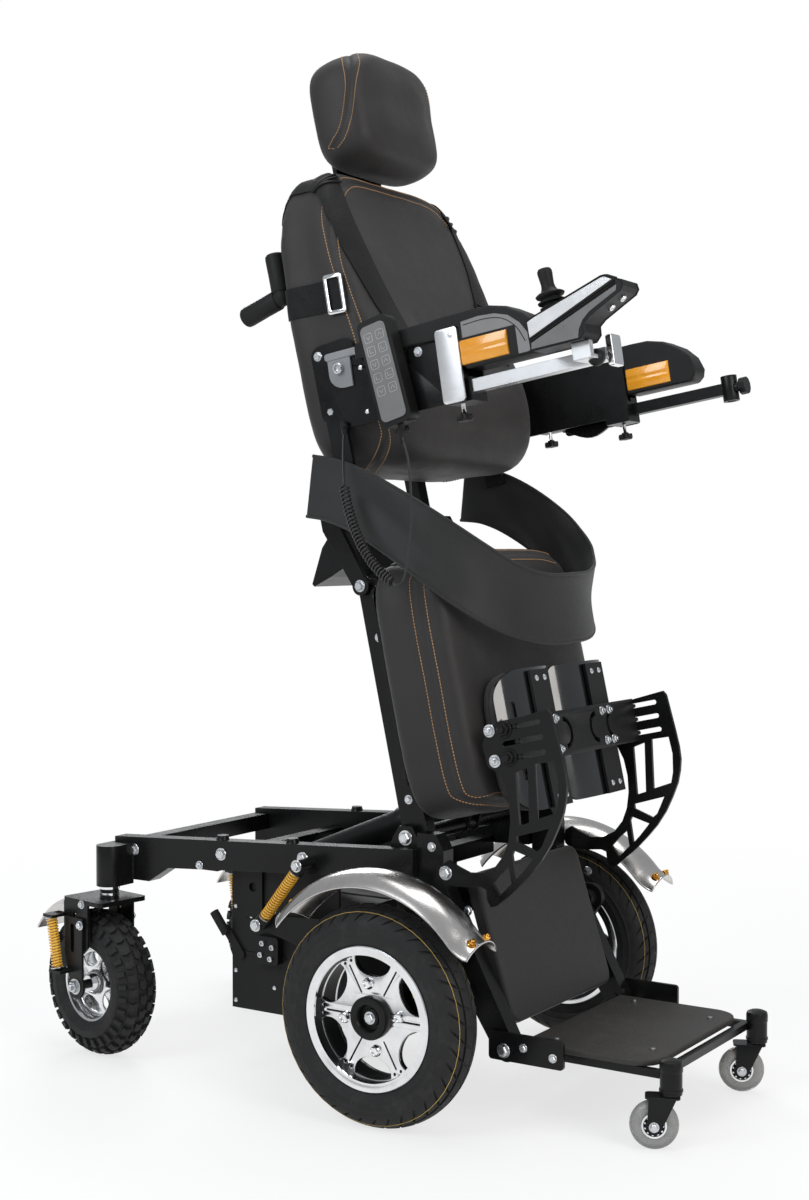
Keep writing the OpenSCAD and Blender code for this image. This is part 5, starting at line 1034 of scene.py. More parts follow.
def caster_trim(name):
    base, fork, arm = CASTER[name], f"caster_fork_{name}", f"caster_arm_{name}"
    side_row(hex_bolt, fork, base, 6, [(-12, 52, 276)])
    side_row(hex_bolt, arm, base, 11, [(CASTER_TRAIL, 57.4, CASTER_R)], "zinc", True)
    side_row(hex_bolt, arm, base, 6.5, [(-10, 57.4, 240)])
    coil(f"caster_spring_{name}", base, [((-58, s * 71, 160.6), (-74, s * 71, 247.4)) for s in BOTH], turns=17,
         core=5.8, bodies={fork: True, arm: False})
    section = [(151.6, -46.6), (155.1, -46.6), (155.1, 46.6), (151.6, 46.6)]
    rows = []
    for k in range(25):
        x, z = polar(1, 99.6 + 46.8 * k / 24)
        rows.append([(CASTER_TRAIL + r * x, y, CASTER_R + r * z) for r, y in section])
    Shape().loft(rows, base, capped=True).make(f"caster_guard_{name}", FENDER, fork, ease=0.8)
    stem = Shape().turned([(10.2, 286), (16, 287), (17.6, 289), (17.6, 293), (15, 295), (15, 299), (18.5, 300),
                           (18.5, 304.6), (10.2, 304.6)], base, 40)
    stem.make(f"caster_bearing_{name}", CHROME, fork)


ROLLER_HALF = [(37.4, 0), (36.8, 4), (34.5, 8), (31, 11), (27, 12), (20, 11), (19, 9)]


def front_wheel(name, side):
    """Clear grey roller on a ball race, in its small black fork."""
    body = f"front_wheel_{name}"
    at = wheel_at(FRONT[name], FRONT_TRAIL, 0, FRONT_R, side)
    roller = Shape().turned([(r, -z) for r, z in ROLLER_HALF[:0:-1]] + ROLLER_HALF, at, 72, True)
    roller.make(f"{body}_tread", POLYURETHANE, body, 50, replaces=(body,))
    race = Shape()
    for s in BOTH:
        race.turned([(16.4, s * 7), (19.2, s * 7), (19.2, s * 10.6), (16.4, s * 10.6)], at, 48, True)
        race.turned([(4.2, s * 5), (11.4, s * 5), (11.4, s * 11.2), (8, s * 11.8), (4.2, s * 11.8)], at, 40, True)
        for x, y in circle(13.9, 11):
            race.turned([(0, -2.3), (1.6, -1.6), (2.3, 0), (1.6, 1.6), (0, 2.3)], at @ move(x, y, s * 8.4), 12)
    race.make(f"{body}_race", CHROME, body)
    core = Shape().turned([(11.6, -7), (16.2, -7), (16.2, 7), (11.6, 7)], at, 40, True)
    core.make(f"{body}_core", PLASTIC, body)
    side_row(hex_bolt, f"front_fork_{name}", FRONT[name], 6.2, [(FRONT_TRAIL, 17, FRONT_R)])


for name, side in SIDES.items():
    caster_wheel(name, side)
    caster_trim(name)
    front_wheel(name, side)


# Cushions
def soft(t, square):
    """A point on a rounded square; square holds the squareness of its upper and lower half."""
    c, s = math.cos(t), math.sin(t)
    n = square[0] if s >= 0 else square[1]
    return (math.copysign(abs(c) ** (2 / n), c), math.copysign(abs(s) ** (2 / n), s))


# Sections of the pads from the rest face to the crown: shares of the outline and of the depth
PAD_SHARES = [(0.0, 0), (0.35, 0), (0.7, 0), (0.9, 0), (0.965, 0.03), (1, 0.12), (0.985, 0.42), (0.995, 0.7),
              (0.985, 0.83), (0.955, 0.92), (0.9, 0.965), (0.8, 0.975), (0.6, 0.965), (0.3, 0.95), (0.0, 0.945)]
HEAD_SHARES = [(0.0, 0), (0.4, 0), (0.72, 0), (0.88, 0.03), (0.97, 0.15), (1, 0.35), (0.995, 0.55), (0.95, 0.78),
               (0.85, 0.92), (0.65, 0.98), (0.35, 1.0), (0.0, 1.0)]
KNEE_SHARES = [(0.0, 0), (0.3, 0), (0.62, 0), (0.86, 0.01), (0.96, 0.12), (1.0, 0.35), (1.0, 0.6), (0.93, 0.85),
               (0.75, 0.97), (0.45, 1.0), (0.0, 1.0)]
SEAT_SQUARE, BACK_SQUARE, HEAD_SQUARE, KNEE_SQUARE = (6, 6), (9, 6), (3.7, 4.8), (4, 4)
BACK_W, BACK_H, BACK_THICK, BACK_Z0, BACK_REAR = 468, 516, 162, 186, -20.6
KNEE_W, KNEE_H, KNEE_SAG, KNEE_FOAM, KNEE_SHELL, KNEE_FRONT = 186, 226, 34, 30, 3.5, -10
KNEE_ARC = ((KNEE_W / 2) ** 2 + KNEE_SAG ** 2) / (2 * KNEE_SAG)
KNEE_TURN = math.acos(1 - KNEE_SAG / KNEE_ARC)
SHELL_ROUND_OUT, SHELL_ROUND_IN, SHELL_SLOT_Y, SHELL_SLOT_Z, SHELL_SLOT_W, SHELL_SLOT_H = 46, 12, 67, 45.2, 8, 35
PAD_STEPS, THREAD_R, FREE = 96, 0.75, math.inf
CLOTH_FRAMES, SWELL_PASSES, PLACE_PASSES = 20, 12, 2


def seat_point(e, q):
    return (40.4 + q[1] * 140, e[0] * 235 * q[0], 232 + e[1] * 220 * q[0])


def back_section(s):
    """Rear face and depth of the back cushion, by height as a share of its half."""
    depth = 1 - 0.52 * max(0.0, (s + 0.2) / 1.2) ** 1.8 + 0.2 * max(0.0, 1 - ((s + 0.62) / 0.5) ** 2)
    return BACK_REAR + 34 * max(0.0, s) ** 3, BACK_THICK * depth


def back_point(e, q):
    s = e[1] * q[0]
    taper = 1 - 0.2 * max(0.0, (s - 0.1) / 0.9) ** 2.4
    rear, depth = back_section(s)
    return (rear + q[1] * depth, e[0] * BACK_W / 2 * q[0] * taper,
            BACK_Z0 + BACK_H / 2 + s * BACK_H / 2 - 26 * q[1] * max(0.0, -s) ** 3)


def head_point(e, q):
    rise = max(0.0, e[1] * q[0])
    return (34.4 + q[1] * (112 + 15 * rise ** 1.4), e[0] * 135 * q[0], 812 + e[1] * 100 * q[0])


def knee_point(side):
    inner = KNEE_ARC - KNEE_SHELL - 0.4
    half = inner * math.sin(KNEE_TURN) - 0.8

    def point(e, q):
        y = e[0] * q[0] * half
        depth = math.sqrt(inner ** 2 - y ** 2) * (1 - q[1]) + (inner - KNEE_SAG - KNEE_FOAM) * q[1]
        return (KNEE_FRONT - KNEE_ARC + depth, side * KNEE_Y + y, e[1] * q[0] * KNEE_H / 2)
    return point


def push(made, amount):
    """Moves the points of a cover out along their normals, by an amount for each place."""
    normals = [v.normal.copy() for v in made.data.vertices]
    for v, normal in zip(made.data.vertices, normals):
        v.co += normal * amount(v.co)


def fill_pad(point, shares, square, inset, voxel, pressure, cap):
    """A closed pad, drawn in by inset and filled like a stuffed cover: a short cloth run under pressure, with its
    swelling capped and evened out. The run is in metres, all else in millimetres."""
    rows = []
    for share, depth, _ in smooth_path([(a, b, 0) for a, b in shares], 4):
        place = (max(0.0, share), min(1.0, max(0.0, depth)))
        if share < 1e-3:
            rows.append([point((0, 0), (0, place[1]))])
        else:
            rows.append([point(soft(2 * math.pi * i / PAD_STEPS, square), place) for i in range(PAD_STEPS)])
    made = Shape().loft(rows).object("pad", 180)
    push(made, lambda p: -inset)
    made.data.transform(Matrix.Scale(MM, 4))
    modify(made, "REMESH", mode="VOXEL", voxel_size=voxel * MM)
    mesh = work_in(made)
    start = [v.co.copy() for v in mesh.vertices]
    outward = [v.normal.copy() for v in mesh.vertices]
    swell = [inset * MM] * len(start)
    cloth = modify(made, "CLOTH")
    put(cloth.settings, quality=4, mass=0.35, tension_stiffness=18, compression_stiffness=12, shear_stiffness=8,
        bending_stiffness=1.2, use_pressure=True, uniform_pressure_force=pressure)
    cloth.settings.effector_weights.gravity = 0
    cloth.collision_settings.use_collision = False
    put(cloth.point_cache, frame_start=1, frame_end=CLOTH_FRAMES)
    for step in range(1, CLOTH_FRAMES + 1):
        scene.frame_set(step)
    filled = evaluated(made).to_mesh()
    swell = [(v.co - a).dot(n) for v, a, n in zip(filled.vertices, start, outward)]
    evaluated(made).to_mesh_clear()
    made.modifiers.clear()
    scene.frame_set(1)
    swell = [min(max(d, 0.7 * inset * MM), cap * MM) for d in swell]
    near = [[] for _ in start]
    for edge in mesh.edges:
        a, b = edge.vertices
        near[a].append(b)
        near[b].append(a)
    for _ in range(SWELL_PASSES):
        swell = [0.4 * d + 0.6 * sum(swell[k] for k in ring) / len(ring) for d, ring in zip(swell, near)]
    places = [a + n * d for a, n, d in zip(start, outward, swell)]
    for _ in range(PLACE_PASSES):
        places = [0.6 * p + sum((places[k] for k in ring), Vector()) * (0.4 / len(ring))
                  for p, ring in zip(places, near)]
    for v, p in zip(mesh.vertices, places):
        v.co = p
    finer(made).transform(Matrix.Scale(1 / MM, 4))
    return made


def surface_of(made):
    mesh = made.data
    return BVHTree.FromPolygons([v.co.copy() for v in mesh.vertices], [list(p.vertices) for p in mesh.polygons])


def on_surface(tree, points):
    """Nearest places and outward directions on a pad for a line of points."""
    return [tree.find_nearest(Vector(p))[:2] for p in points]


def press_seams(made, lines, depth, width):
    """Draws the cover in along its seams, deepest on the seam itself."""
    points = [p for line in lines for p in line]
    tree = KDTree(len(points))
    for i, p in enumerate(points):
        tree.insert(p, i)
    tree.balance()

    def drawn_in(p):
        away = tree.find(p)[2]
        return -depth * math.exp(-((away / width) ** 2)) if away < 4 * width else 0.0
    push(made, drawn_in)


def ripple(made, size, reach, seed):
    """Slight unevenness of stuffed cloth."""
    def uneven(p):
        q = p / reach + Vector((seed, seed * 0.7, 0))
        return size * (noise.noise(q) + 0.4 * noise.noise(q * 2.7))
    push(made, uneven)


def limit(made, low, high):
    for v in made.data.vertices:
        for k in range(3):
            v.co[k] = min(max(v.co[k], low[k]), high[k])


def stitches(shape, tree, line, pitch, at):
    """One row of thread: a short raised stitch for every pitch along a line on the cover."""
    places = on_surface(tree, even_steps([Vector(p) for p in line], pitch))
    for (a, na), (b, nb) in zip(places, places[1:]):
        run = b - a
        if 0.2 * pitch <= run.length <= 2.2 * pitch:
            path = [a + run * 0.06 - na * 0.5, a + run * 0.2 + na * 0.45, a + run * 0.6 + nb * 0.45,
                    a + run * 0.78 - nb * 0.5]
            shape.swept(path, [THREAD_R * share for share in (0.6, 1, 1, 0.6)], at, 5)


def seam_line(point, square, beside, ends, steps):
    """A line around a pad, at one share and depth on its sides and at another along its two ends."""
    line = []
    for i in range(steps + 1):
        e = soft(2 * math.pi * i / steps, square)
        w = min(1.0, max(0.0, (abs(e[1]) - 0.8) / 0.18))
        w = w * w * (3 - 2 * w)
        line.append(Vector(point(e, [a + (b - a) * w for a, b in zip(beside, ends)])))
    return line


def between(first, second):
    """A line midway between two rows."""
    return [(a + b) / 2 for a, b in zip(first, second)]


def cut_away(made, room):
    """Cuts a shape out of a piece."""
    cutter = room.object("room")
    modify(made, "BOOLEAN", operation="DIFFERENCE", object=cutter, solver="EXACT")
    work_in(made)
    bpy.data.objects.remove(cutter)


def finish_pad(made, name, at, body, seams, rows, node, depth=2.4, width=4.5, pitch=5.4):
    """Seams, thread and finish of a filled pad; gives its surface."""
    tree = surface_of(made)
    press_seams(made, [[p for p, _ in on_surface(tree, even_steps(line, 3))] for line in seams], depth, width)
    tree = surface_of(made)
    thread = Shape()
    for row in rows:
        stitches(thread, tree, row, pitch, at)
    made.name = made.data.name = name
    made.data.transform(at)
    made.data.shade_smooth()
    dress(made, LEATHER, body, (node,))
    if rows:
        thread.make(f"{name}_thread", THREAD, body, 60)
    return tree


def seat_cover():
    made = fill_pad(seat_point, PAD_SHARES, SEAT_SQUARE, inset=5, voxel=7, pressure=4.0, cap=9)
    limit(made, (40.6, -237, 8), (184, 237, 455))
    ripple(made, size=0.8, reach=70, seed=3.1)
    struts = Shape()
    for side in BOTH:
        struts.prism(rounded(0, side * 183 - 8, 400, side * 183 + 8, 0.5), 411, 700, Matrix.Identity(4))
    cut_away(made, struts)
    outer, inner, seam = [seam_line(seat_point, SEAT_SQUARE, beside, ends, steps=400) for beside, ends in (
        ((0.99, 0.55), (0.965, 0.9)), ((0.985, 0.75), (0.875, 0.972)), ((0.99, 0.65), (0.93, 0.945)))]
    finish_pad(made, "seat_cover", SEAT, "seat", [seam], [outer, inner], "seat_cushion")


# Thread rows of the headrest and back on one side, from the top down: places out of the face, across and up
HEAD_ROWS = [
    [(92, 82, 914), (110, 104, 895), (122, 128, 846), (110, 132, 801), (95, 132, 770), (77, 129, 756), (63, 123, 748)],
    [(110, 68, 914), (128, 84, 895), (135, 115, 844), (126, 126, 797), (114, 128, 769), (99, 126, 751), (78, 120, 741)],
]
BACK_ROWS = [
    [(84, 0, 691), (84, 80, 690), (84, 122, 685), (82, 152, 674), (80, 188, 643), (81, 211, 611), (83, 222, 583),
     (87, 226, 532), (92, 228, 500), (103, 232, 428), (108, 232, 393), (116, 231, 320), (119, 225, 240),
     (111, 217, 218), (79, 197, 197), (42, 168, 188), (-1, 130, 185)],
    [(90, 0, 673), (90, 60, 672), (90, 112, 668), (91, 140, 658), (93, 160, 643), (96, 186, 615), (100, 208, 577),
     (105, 222, 522), (111, 225, 484), (122, 228, 428), (128, 229, 393), (136, 226, 320), (134, 219, 250),
     (126, 212, 212), (100, 196, 190), (60, 160, 183), (18, 112, 183)],
]


def back_cover():
    made = fill_pad(back_point, PAD_SHARES, BACK_SQUARE, inset=5, voxel=7, pressure=4.0, cap=9)
    limit(made, (BACK_REAR + 0.2, -236, -FREE), (FREE, 236, FREE))
    ripple(made, size=1.0, reach=80, seed=7.7)
    rows = [smooth_path([(n, -y, u) for n, y, u in row[:0:-1]] + row, 12) for row in BACK_ROWS]
    return finish_pad(made, "back_cover", BACK, "back", [between(*rows)], rows, "back_cushion")


def head_cover():
    made = fill_pad(head_point, HEAD_SHARES, HEAD_SQUARE, inset=4, voxel=5, pressure=4.0, cap=7)
    limit(made, (34.6, -137, -FREE), (162, 137, FREE))
    ripple(made, size=0.6, reach=60, seed=1.3)
    seam, rows = [], []
    for side in BOTH:
        rear, fore = [[Vector((n, side * y, u)) for n, y, u in row] for row in HEAD_ROWS]
        rows += [smooth_path(rear, 10), smooth_path(fore, 10)]
        rows.append([rear[-1] + (fore[-1] - rear[-1]) * k / 8 for k in range(9)])
        seam.append(between(rows[-3], rows[-2]))
    finish_pad(made, "head_cover", BACK, "headrest", seam, rows, "headrest_cushion", depth=2.0, width=4.0,
               pitch=4.6)


def knee_cover(name, side):
    made = fill_pad(knee_point(side), KNEE_SHARES, KNEE_SQUARE, inset=3, voxel=5, pressure=3.0, cap=5)
    ripple(made, size=0.5, reach=50, seed=5.0 + side)
    seam = seam_line(knee_point(side), KNEE_SQUARE, (1.0, 0.5), (1.0, 0.5), steps=200)
    finish_pad(made, f"knee_cover_{name}", KNEE, "knee_block", [seam], [], "knee_pads", depth=1.6, width=3.0)


def knee_shells():
    """Curved shells behind the knee pads, with round corners and two slots each."""
    shells, room = Shape(), Shape()
    through = KNEE @ move(KNEE_FRONT - KNEE_SAG, 0, 0) @ FACING_ON
    depth, past = (-20, KNEE_SAG + 20), 4
    half = math.degrees(KNEE_TURN)
    outline = arc(KNEE_ARC, -half, half, 48) + arc(KNEE_ARC - KNEE_SHELL, half, -half, 48)
    for side in BOTH:
        shells.prism(outline, -KNEE_H / 2, KNEE_H / 2, KNEE @ move(KNEE_FRONT - KNEE_ARC, side * KNEE_Y, 0))
        for way, r in ((side, SHELL_ROUND_OUT), (-side, SHELL_ROUND_IN)):
            for up in BOTH:
                y, z = side * KNEE_Y + way * (KNEE_W / 2 + past), up * (KNEE_H / 2 + past)
                corner = [(y + way * (a - r - past), z + up * (b - r - past)) for a, b in arc(r, 90, 0, 12)]
                room.prism([(y, z), (corner[0][0], z)] + corner + [(y, corner[-1][1])], *depth, through)
        for up in BOTH:
            slot = rounded(-SHELL_SLOT_W / 2, -SHELL_SLOT_H / 2, SHELL_SLOT_W / 2, SHELL_SLOT_H / 2, 3.9)
            room.prism(slot, *depth, through @ move(side * (KNEE_Y + SHELL_SLOT_Y), up * SHELL_SLOT_Z, 0))
    made = shells.object("knee_shell_plates")
    cut_away(made, room)
    shade(made.data, 35)
    eased(made, 0.8)
    dress(made, GLOSS, "knee_block", ("knee_shells",))


seat_cover()
back_surface = back_cover()
head_cover()
for name, side in SIDES.items():
    knee_cover(name, side)
knee_shells()

# Harness: shoulder straps with their slides, side straps with their buckles
STRAP_SHARES = [(0.85, 0.82, 0.95), (0.65, 0.84, 0.95), (0.4, 0.82, 0.98), (0.15, 0.76, 1), (-0.1, 0.68, 1),
                (-0.3, 0.62, 1)]
STRAP_W, STRAP_T, STRAP_LIFT = 58, 2.2, 1.6
STRAP_REAR = [(-14, 0.75, 622), (-11, 0.75, 640), (-7, 0.75, 656), (-2, 0.75, 670)]
STRAP_SHOULDER = [(6, 0.76, 684), (30, 0.77, 690), (54, 0.78, 688), (76, 0.80, 678)]
STRAP_COLUMNS = 7
# Rows of the shoulder straps that the slides sit on
SLIDE_ROWS = {"right": (52,), "left": (58, 80)}
SLIDE_R, SLIDE_LIFT = 2.1, 2.6
SIDE_STRAP_W, SIDE_STRAP_T, SIDE_STRAP_X, SIDE_STRAP_Z, SIDE_STRAP_RUN, SIDE_STRAP_DROP = 52, 1.8, -16, 480, 116, 14
CLEAR_OF_BACK = 300


def band(shape, grid, thick, at):
    """A flat band with thickness from a grid of points, rows along it and columns across."""
    rows, columns = len(grid), len(grid[0])
    normals = []
    for i in range(rows):
        for j in range(columns):
            a = grid[min(i + 1, rows - 1)][j] - grid[max(i - 1, 0)][j]
            b = grid[i][min(j + 1, columns - 1)] - grid[i][max(j - 1, 0)]
            normals.append(a.cross(b).normalized())
    flat = [p for row in grid for p in row]
    points = [p + n * side * thick / 2 for side in (1, -1) for p, n in zip(flat, normals)]
    half = rows * columns
    faces = []
    for i in range(rows - 1):
        for j in range(columns - 1):
            a, b = i * columns + j, i * columns + j + 1
            c, d = b + columns, a + columns
            faces += [[a, b, c, d], [half + d, half + c, half + b, half + a]]
    rim = list(range(columns)) + [i * columns + columns - 1 for i in range(1, rows)]
    rim += [half - columns + j for j in range(columns - 2, -1, -1)] + [i * columns for i in range(rows - 2, 0, -1)]
    faces += [[b, a, half + a, half + b] for a, b in zip(rim, rim[1:] + rim[:1])]
    return shape.add(points, faces, at)


def laid(p):
    """The place on the back cover nearest to a point, with a strap's lift."""
    place, normal, _, _ = back_surface.find_nearest(p)
    return place + normal * STRAP_LIFT


def laid_beside(n, side, u):
    """A place on the side of the back cover, seen along Y, with a strap's lift."""
    place, normal, _, _ = back_surface.ray_cast(Vector((n, side * CLEAR_OF_BACK, u)), Vector((0, -side, 0)))
    return place + normal * STRAP_LIFT


def slide_bar(grid, places):
    """A line just above a strap, through places given as row and column of its grid."""
    made = []
    for row, k in places:
        i, j = int(row), min(max(int(k), 0), STRAP_COLUMNS - 2)
        low = grid[i][j].lerp(grid[i][j + 1], k - j)
        here = low.lerp(grid[i + 1][j].lerp(grid[i + 1][j + 1], k - j), row - i)
        made.append(here + back_surface.find_nearest(here)[1] * SLIDE_LIFT)
    return made


def shoulder_strap(name, side):
    route = [(n, side * y * BACK_W / 2, u) for n, y, u in STRAP_REAR + STRAP_SHOULDER]
    for s, y, share in STRAP_SHARES:
        rear, depth = back_section(s)
        route.append((rear + depth * share * 1.005 + 2.4, side * y * BACK_W / 2,
                      BACK_Z0 + BACK_H / 2 * (1 + s) + STRAP_T))
    line = [laid(p) for p in smooth_path(route, 7)]
    grid = []
    for i, p in enumerate(line):
        edge = back_surface.find_nearest(p)[1].cross(heading(line, i, 2)).normalized()
        edge = edge * math.copysign(STRAP_W / 2, edge.y)
        grid.append([laid(p + edge * (k / 3 - 1)) for k in range(STRAP_COLUMNS)])
    for _ in range(3):
        for i in range(1, len(grid) - 1):
            grid[i] = [laid(0.5 * b + 0.25 * (a + c)) for a, b, c in zip(*grid[i - 1:i + 2])]
    strap = band(Shape(), grid, STRAP_T, BACK).make(f"harness_strap_{name}", WEBBING, "back", 50,
                                                    replaces=("harness_straps",))
    length = path_length([row[3] for row in grid])
    length * MM
    slide = Shape()
    for at_row in SLIDE_ROWS[name]:
        bars = [[(at_row + step, k / 2 - 0.2) for k in range(14)] for step in (-2, 0, 2)]
        bars += [[(at_row + step / 2, k) for step in range(-4, 5)] for k in (-0.2, 6.3)]
        for places in bars:
            slide.swept(slide_bar(grid, places), SLIDE_R, BACK, 8)
    slide.make(f"strap_slide_{name}", PLASTIC, "back")


def side_strap(name, side):
    """A strap from behind the cushion to its buckle."""
    grid = []
    for k in range(23):
        s = k / 22
        middle = SIDE_STRAP_Z - SIDE_STRAP_DROP * s
        grid.append([laid_beside(SIDE_STRAP_X + SIDE_STRAP_RUN * s, side, middle + SIDE_STRAP_W * (j / 6 - 0.5))
                     for j in range(STRAP_COLUMNS)])
    strap = band(Shape(), grid, SIDE_STRAP_T, BACK).make(f"side_strap_{name}", WEBBING, "back", 50)
    length = path_length([row[3] for row in grid])
    length * MM
    along = (grid[-1][3] - grid[-5][3]).normalized()
    up = (grid[-3][6] - grid[-3][0]).normalized()
    out = along.cross(up).normalized()
    out = out if out.y * side > 0 else -out
    at = BACK @ move(*grid[-3][3]) @ Matrix((along, up, out)).transposed().to_4x4()
    buckle = Shape().pierced(rounded(-18, -34, 18, 34, 6), [rounded(-11, -27, 11, 27, 3)], 1.2, 5.2, at, 1.5)
    buckle.make(f"strap_buckle_{name}", CHROME, "back")


for name, side in SIDES.items():
    shoulder_strap(name, side)
    side_strap(name, side)

# Hip belt: a soft wide band round the front of the hips, piped along both edges
BELT_SHARES = [(-0.16, -0.985, 0), (0, -1, -0.04), (0.18, -1, -0.14), (0.4, -0.985, -0.32), (0.6, -0.93, -0.52),
               (0.78, -0.8, -0.74), (0.9, -0.56, -0.92), (0.97, -0.26, -1), (1, 0.06, -1), (0.97, 0.36, -0.98),
               (0.88, 0.64, -0.91), (0.74, 0.86, -0.76), (0.56, 0.97, -0.53), (0.38, 1, -0.31), (0.18, 1, -0.13),
               (0, 1, -0.03), (-0.16, 0.985, 0)]
BELT_W, BELT_REACH, BELT_HALF, BELT_DROP, BELT_COLUMNS = 112, 305, 246, 200, 15
BELT_X, BELT_Z, BELT_FOLD_Z = BACK_X - 14, BACK_Z + 164, 1053


def hip_belt():
    line = smooth_path([(BELT_X + a * BELT_REACH, b * BELT_HALF, BELT_Z + c * BELT_DROP) for a, b, c in BELT_SHARES], 7)
    shares = smooth_path([(b, 0, 0) for _, b, _ in BELT_SHARES], 7)
    grid = []
    for i, p in enumerate(line):
        along = heading(line, i)
        out = along.cross(Vector((0, 0, 1))).normalized()
        wide = out.cross(along).normalized() * BELT_W / 2 * (1 - 0.12 * shares[i][0] ** 4)
        t = i / (len(line) - 1)
        row = []
        for k in range(BELT_COLUMNS):
            s = 2 * k / (BELT_COLUMNS - 1) - 1
            fold = 3.4 * math.sin(9 * t * math.pi + 2.2 * s) * (1 - s * s) * math.sin(math.pi * t) ** 0.5
            crease = 2.6 * math.sin(26 * t + 5 * s) * math.exp(-((t - 0.2) / 0.09) ** 2)
            crease += 2.6 * math.sin(26 * t - 5 * s) * math.exp(-((t - 0.8) / 0.09) ** 2)
            hollow = -5 * (1 - s * s) * math.sin(math.pi * t)
            row.append(p + wide * s + out * (0.6 * fold + crease + hollow))
        grid.append(row)
    belt = band(Shape(), grid, 4.2, BASE).object("hip_belt_band", 60)
    finer(belt)
    edges = Shape()
    for k in (0, -1):
        edges.swept([row[k] for row in grid], 2.9, BASE)
    for made in (belt, edges.object("hip_belt_piping", 60)):
        dress(made, BELT_HIDE, "back", ("hip_belt",))
        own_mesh(made)


hip_belt()

# Backrest: stem collars, caps of the stem sleeves, and sleeves of the push grips
collars, sleeves = Shape(), Shape()
for side in BOTH:
    collars.turned([(6.2, 684), (12, 684), (13, 686), (13, 696), (11.5, 699), (6.2, 699)],
                   BACK @ move(-41, side * 50, 0))
    collars.prism(rounded(-55, side * 110 - 15, -27, side * 110 + 15, 4), 648, 654, BACK)
    for turn, length in ((-98, 84), (0, 74)):
        sleeves.turned([(0, 9), (16.4, 9), (17.2, 11), (16.9, length * 0.5), (17.3, length - 8), (16.6, length - 2),
                        (14, length + 0.8), (0, length + 1.2)],
                       BACK @ move(-37.1, side * 200, 505) @ spin(turn, "Y"), 36)
collars.make("stem_collars", PLASTIC, "back")
sleeves.make("push_grip_sleeves", RUBBER, "back")

# Arms
PAD_LINE = [(0, 0.66), (0, 0.9), (0.02, 0.95), (0.2, 0.98), (0.66, 1), (0.75, 0.99), (0.84, 0.9), (0.92, 0.72),
            (0.975, 0.5), (1, 0.25), (0.99, 0.1), (0.96, 0), (0.6, 0), (0.585, 0.05), (0.57, 0.45), (0.54, 0.58),
            (0.48, 0.62)]
PAD_X, PAD_Z, PAD_LEN, PAD_H, PAD_IN, PAD_OUT = 60, -60, 332, 88, 252.4, 298.4
SIDE_COVER = [(258, 13), (290, 15), (318, 12.5), (340, 5), (358, -10), (371, -30), (377, -46), (375, -53), (366, -56),
              (350, -56), (350, -12), (258, -12)]
COVER_GROOVE = [(262, 7), (300, 8), (330, 2), (352, -16), (364, -40)]
LENS_SECTION = [(-53, 0), (-52, 2.6), (-46, 4.4), (-39, 4.8), (-38, 4.2), (-30, 4.2), (-29, 4.8), (-22, 4.4),
                (-16, 2.6), (-15, 0)]
LENS_ENDS = [(0, 0.0), (0.5, 0.7), (3.5, 1.0), (79, 1.0), (82, 0.7), (82.6, 0.0)]
BOSS = [(22, 24), (-22, 24), (-22, -8)] + [(6 - 28 * c, -8 - 24 * s) for c, s in arc(1, 0, 90, 8)[1:]] + [(22, -32)]
PANEL_FACE, CLAMP_IN, CLAMP_T, OUTER_IN, OUTER_T = 251.8, 298.7, 4.8, 289.4, 3.2


def side_plate(outline, holes, side, inner, thick, ease):
    """An eased plate on an arm's outer side."""
    return Shape().pierced(outline, holes, *sorted((side * inner, side * (inner + thick))), ARM @ UPRIGHT, ease)


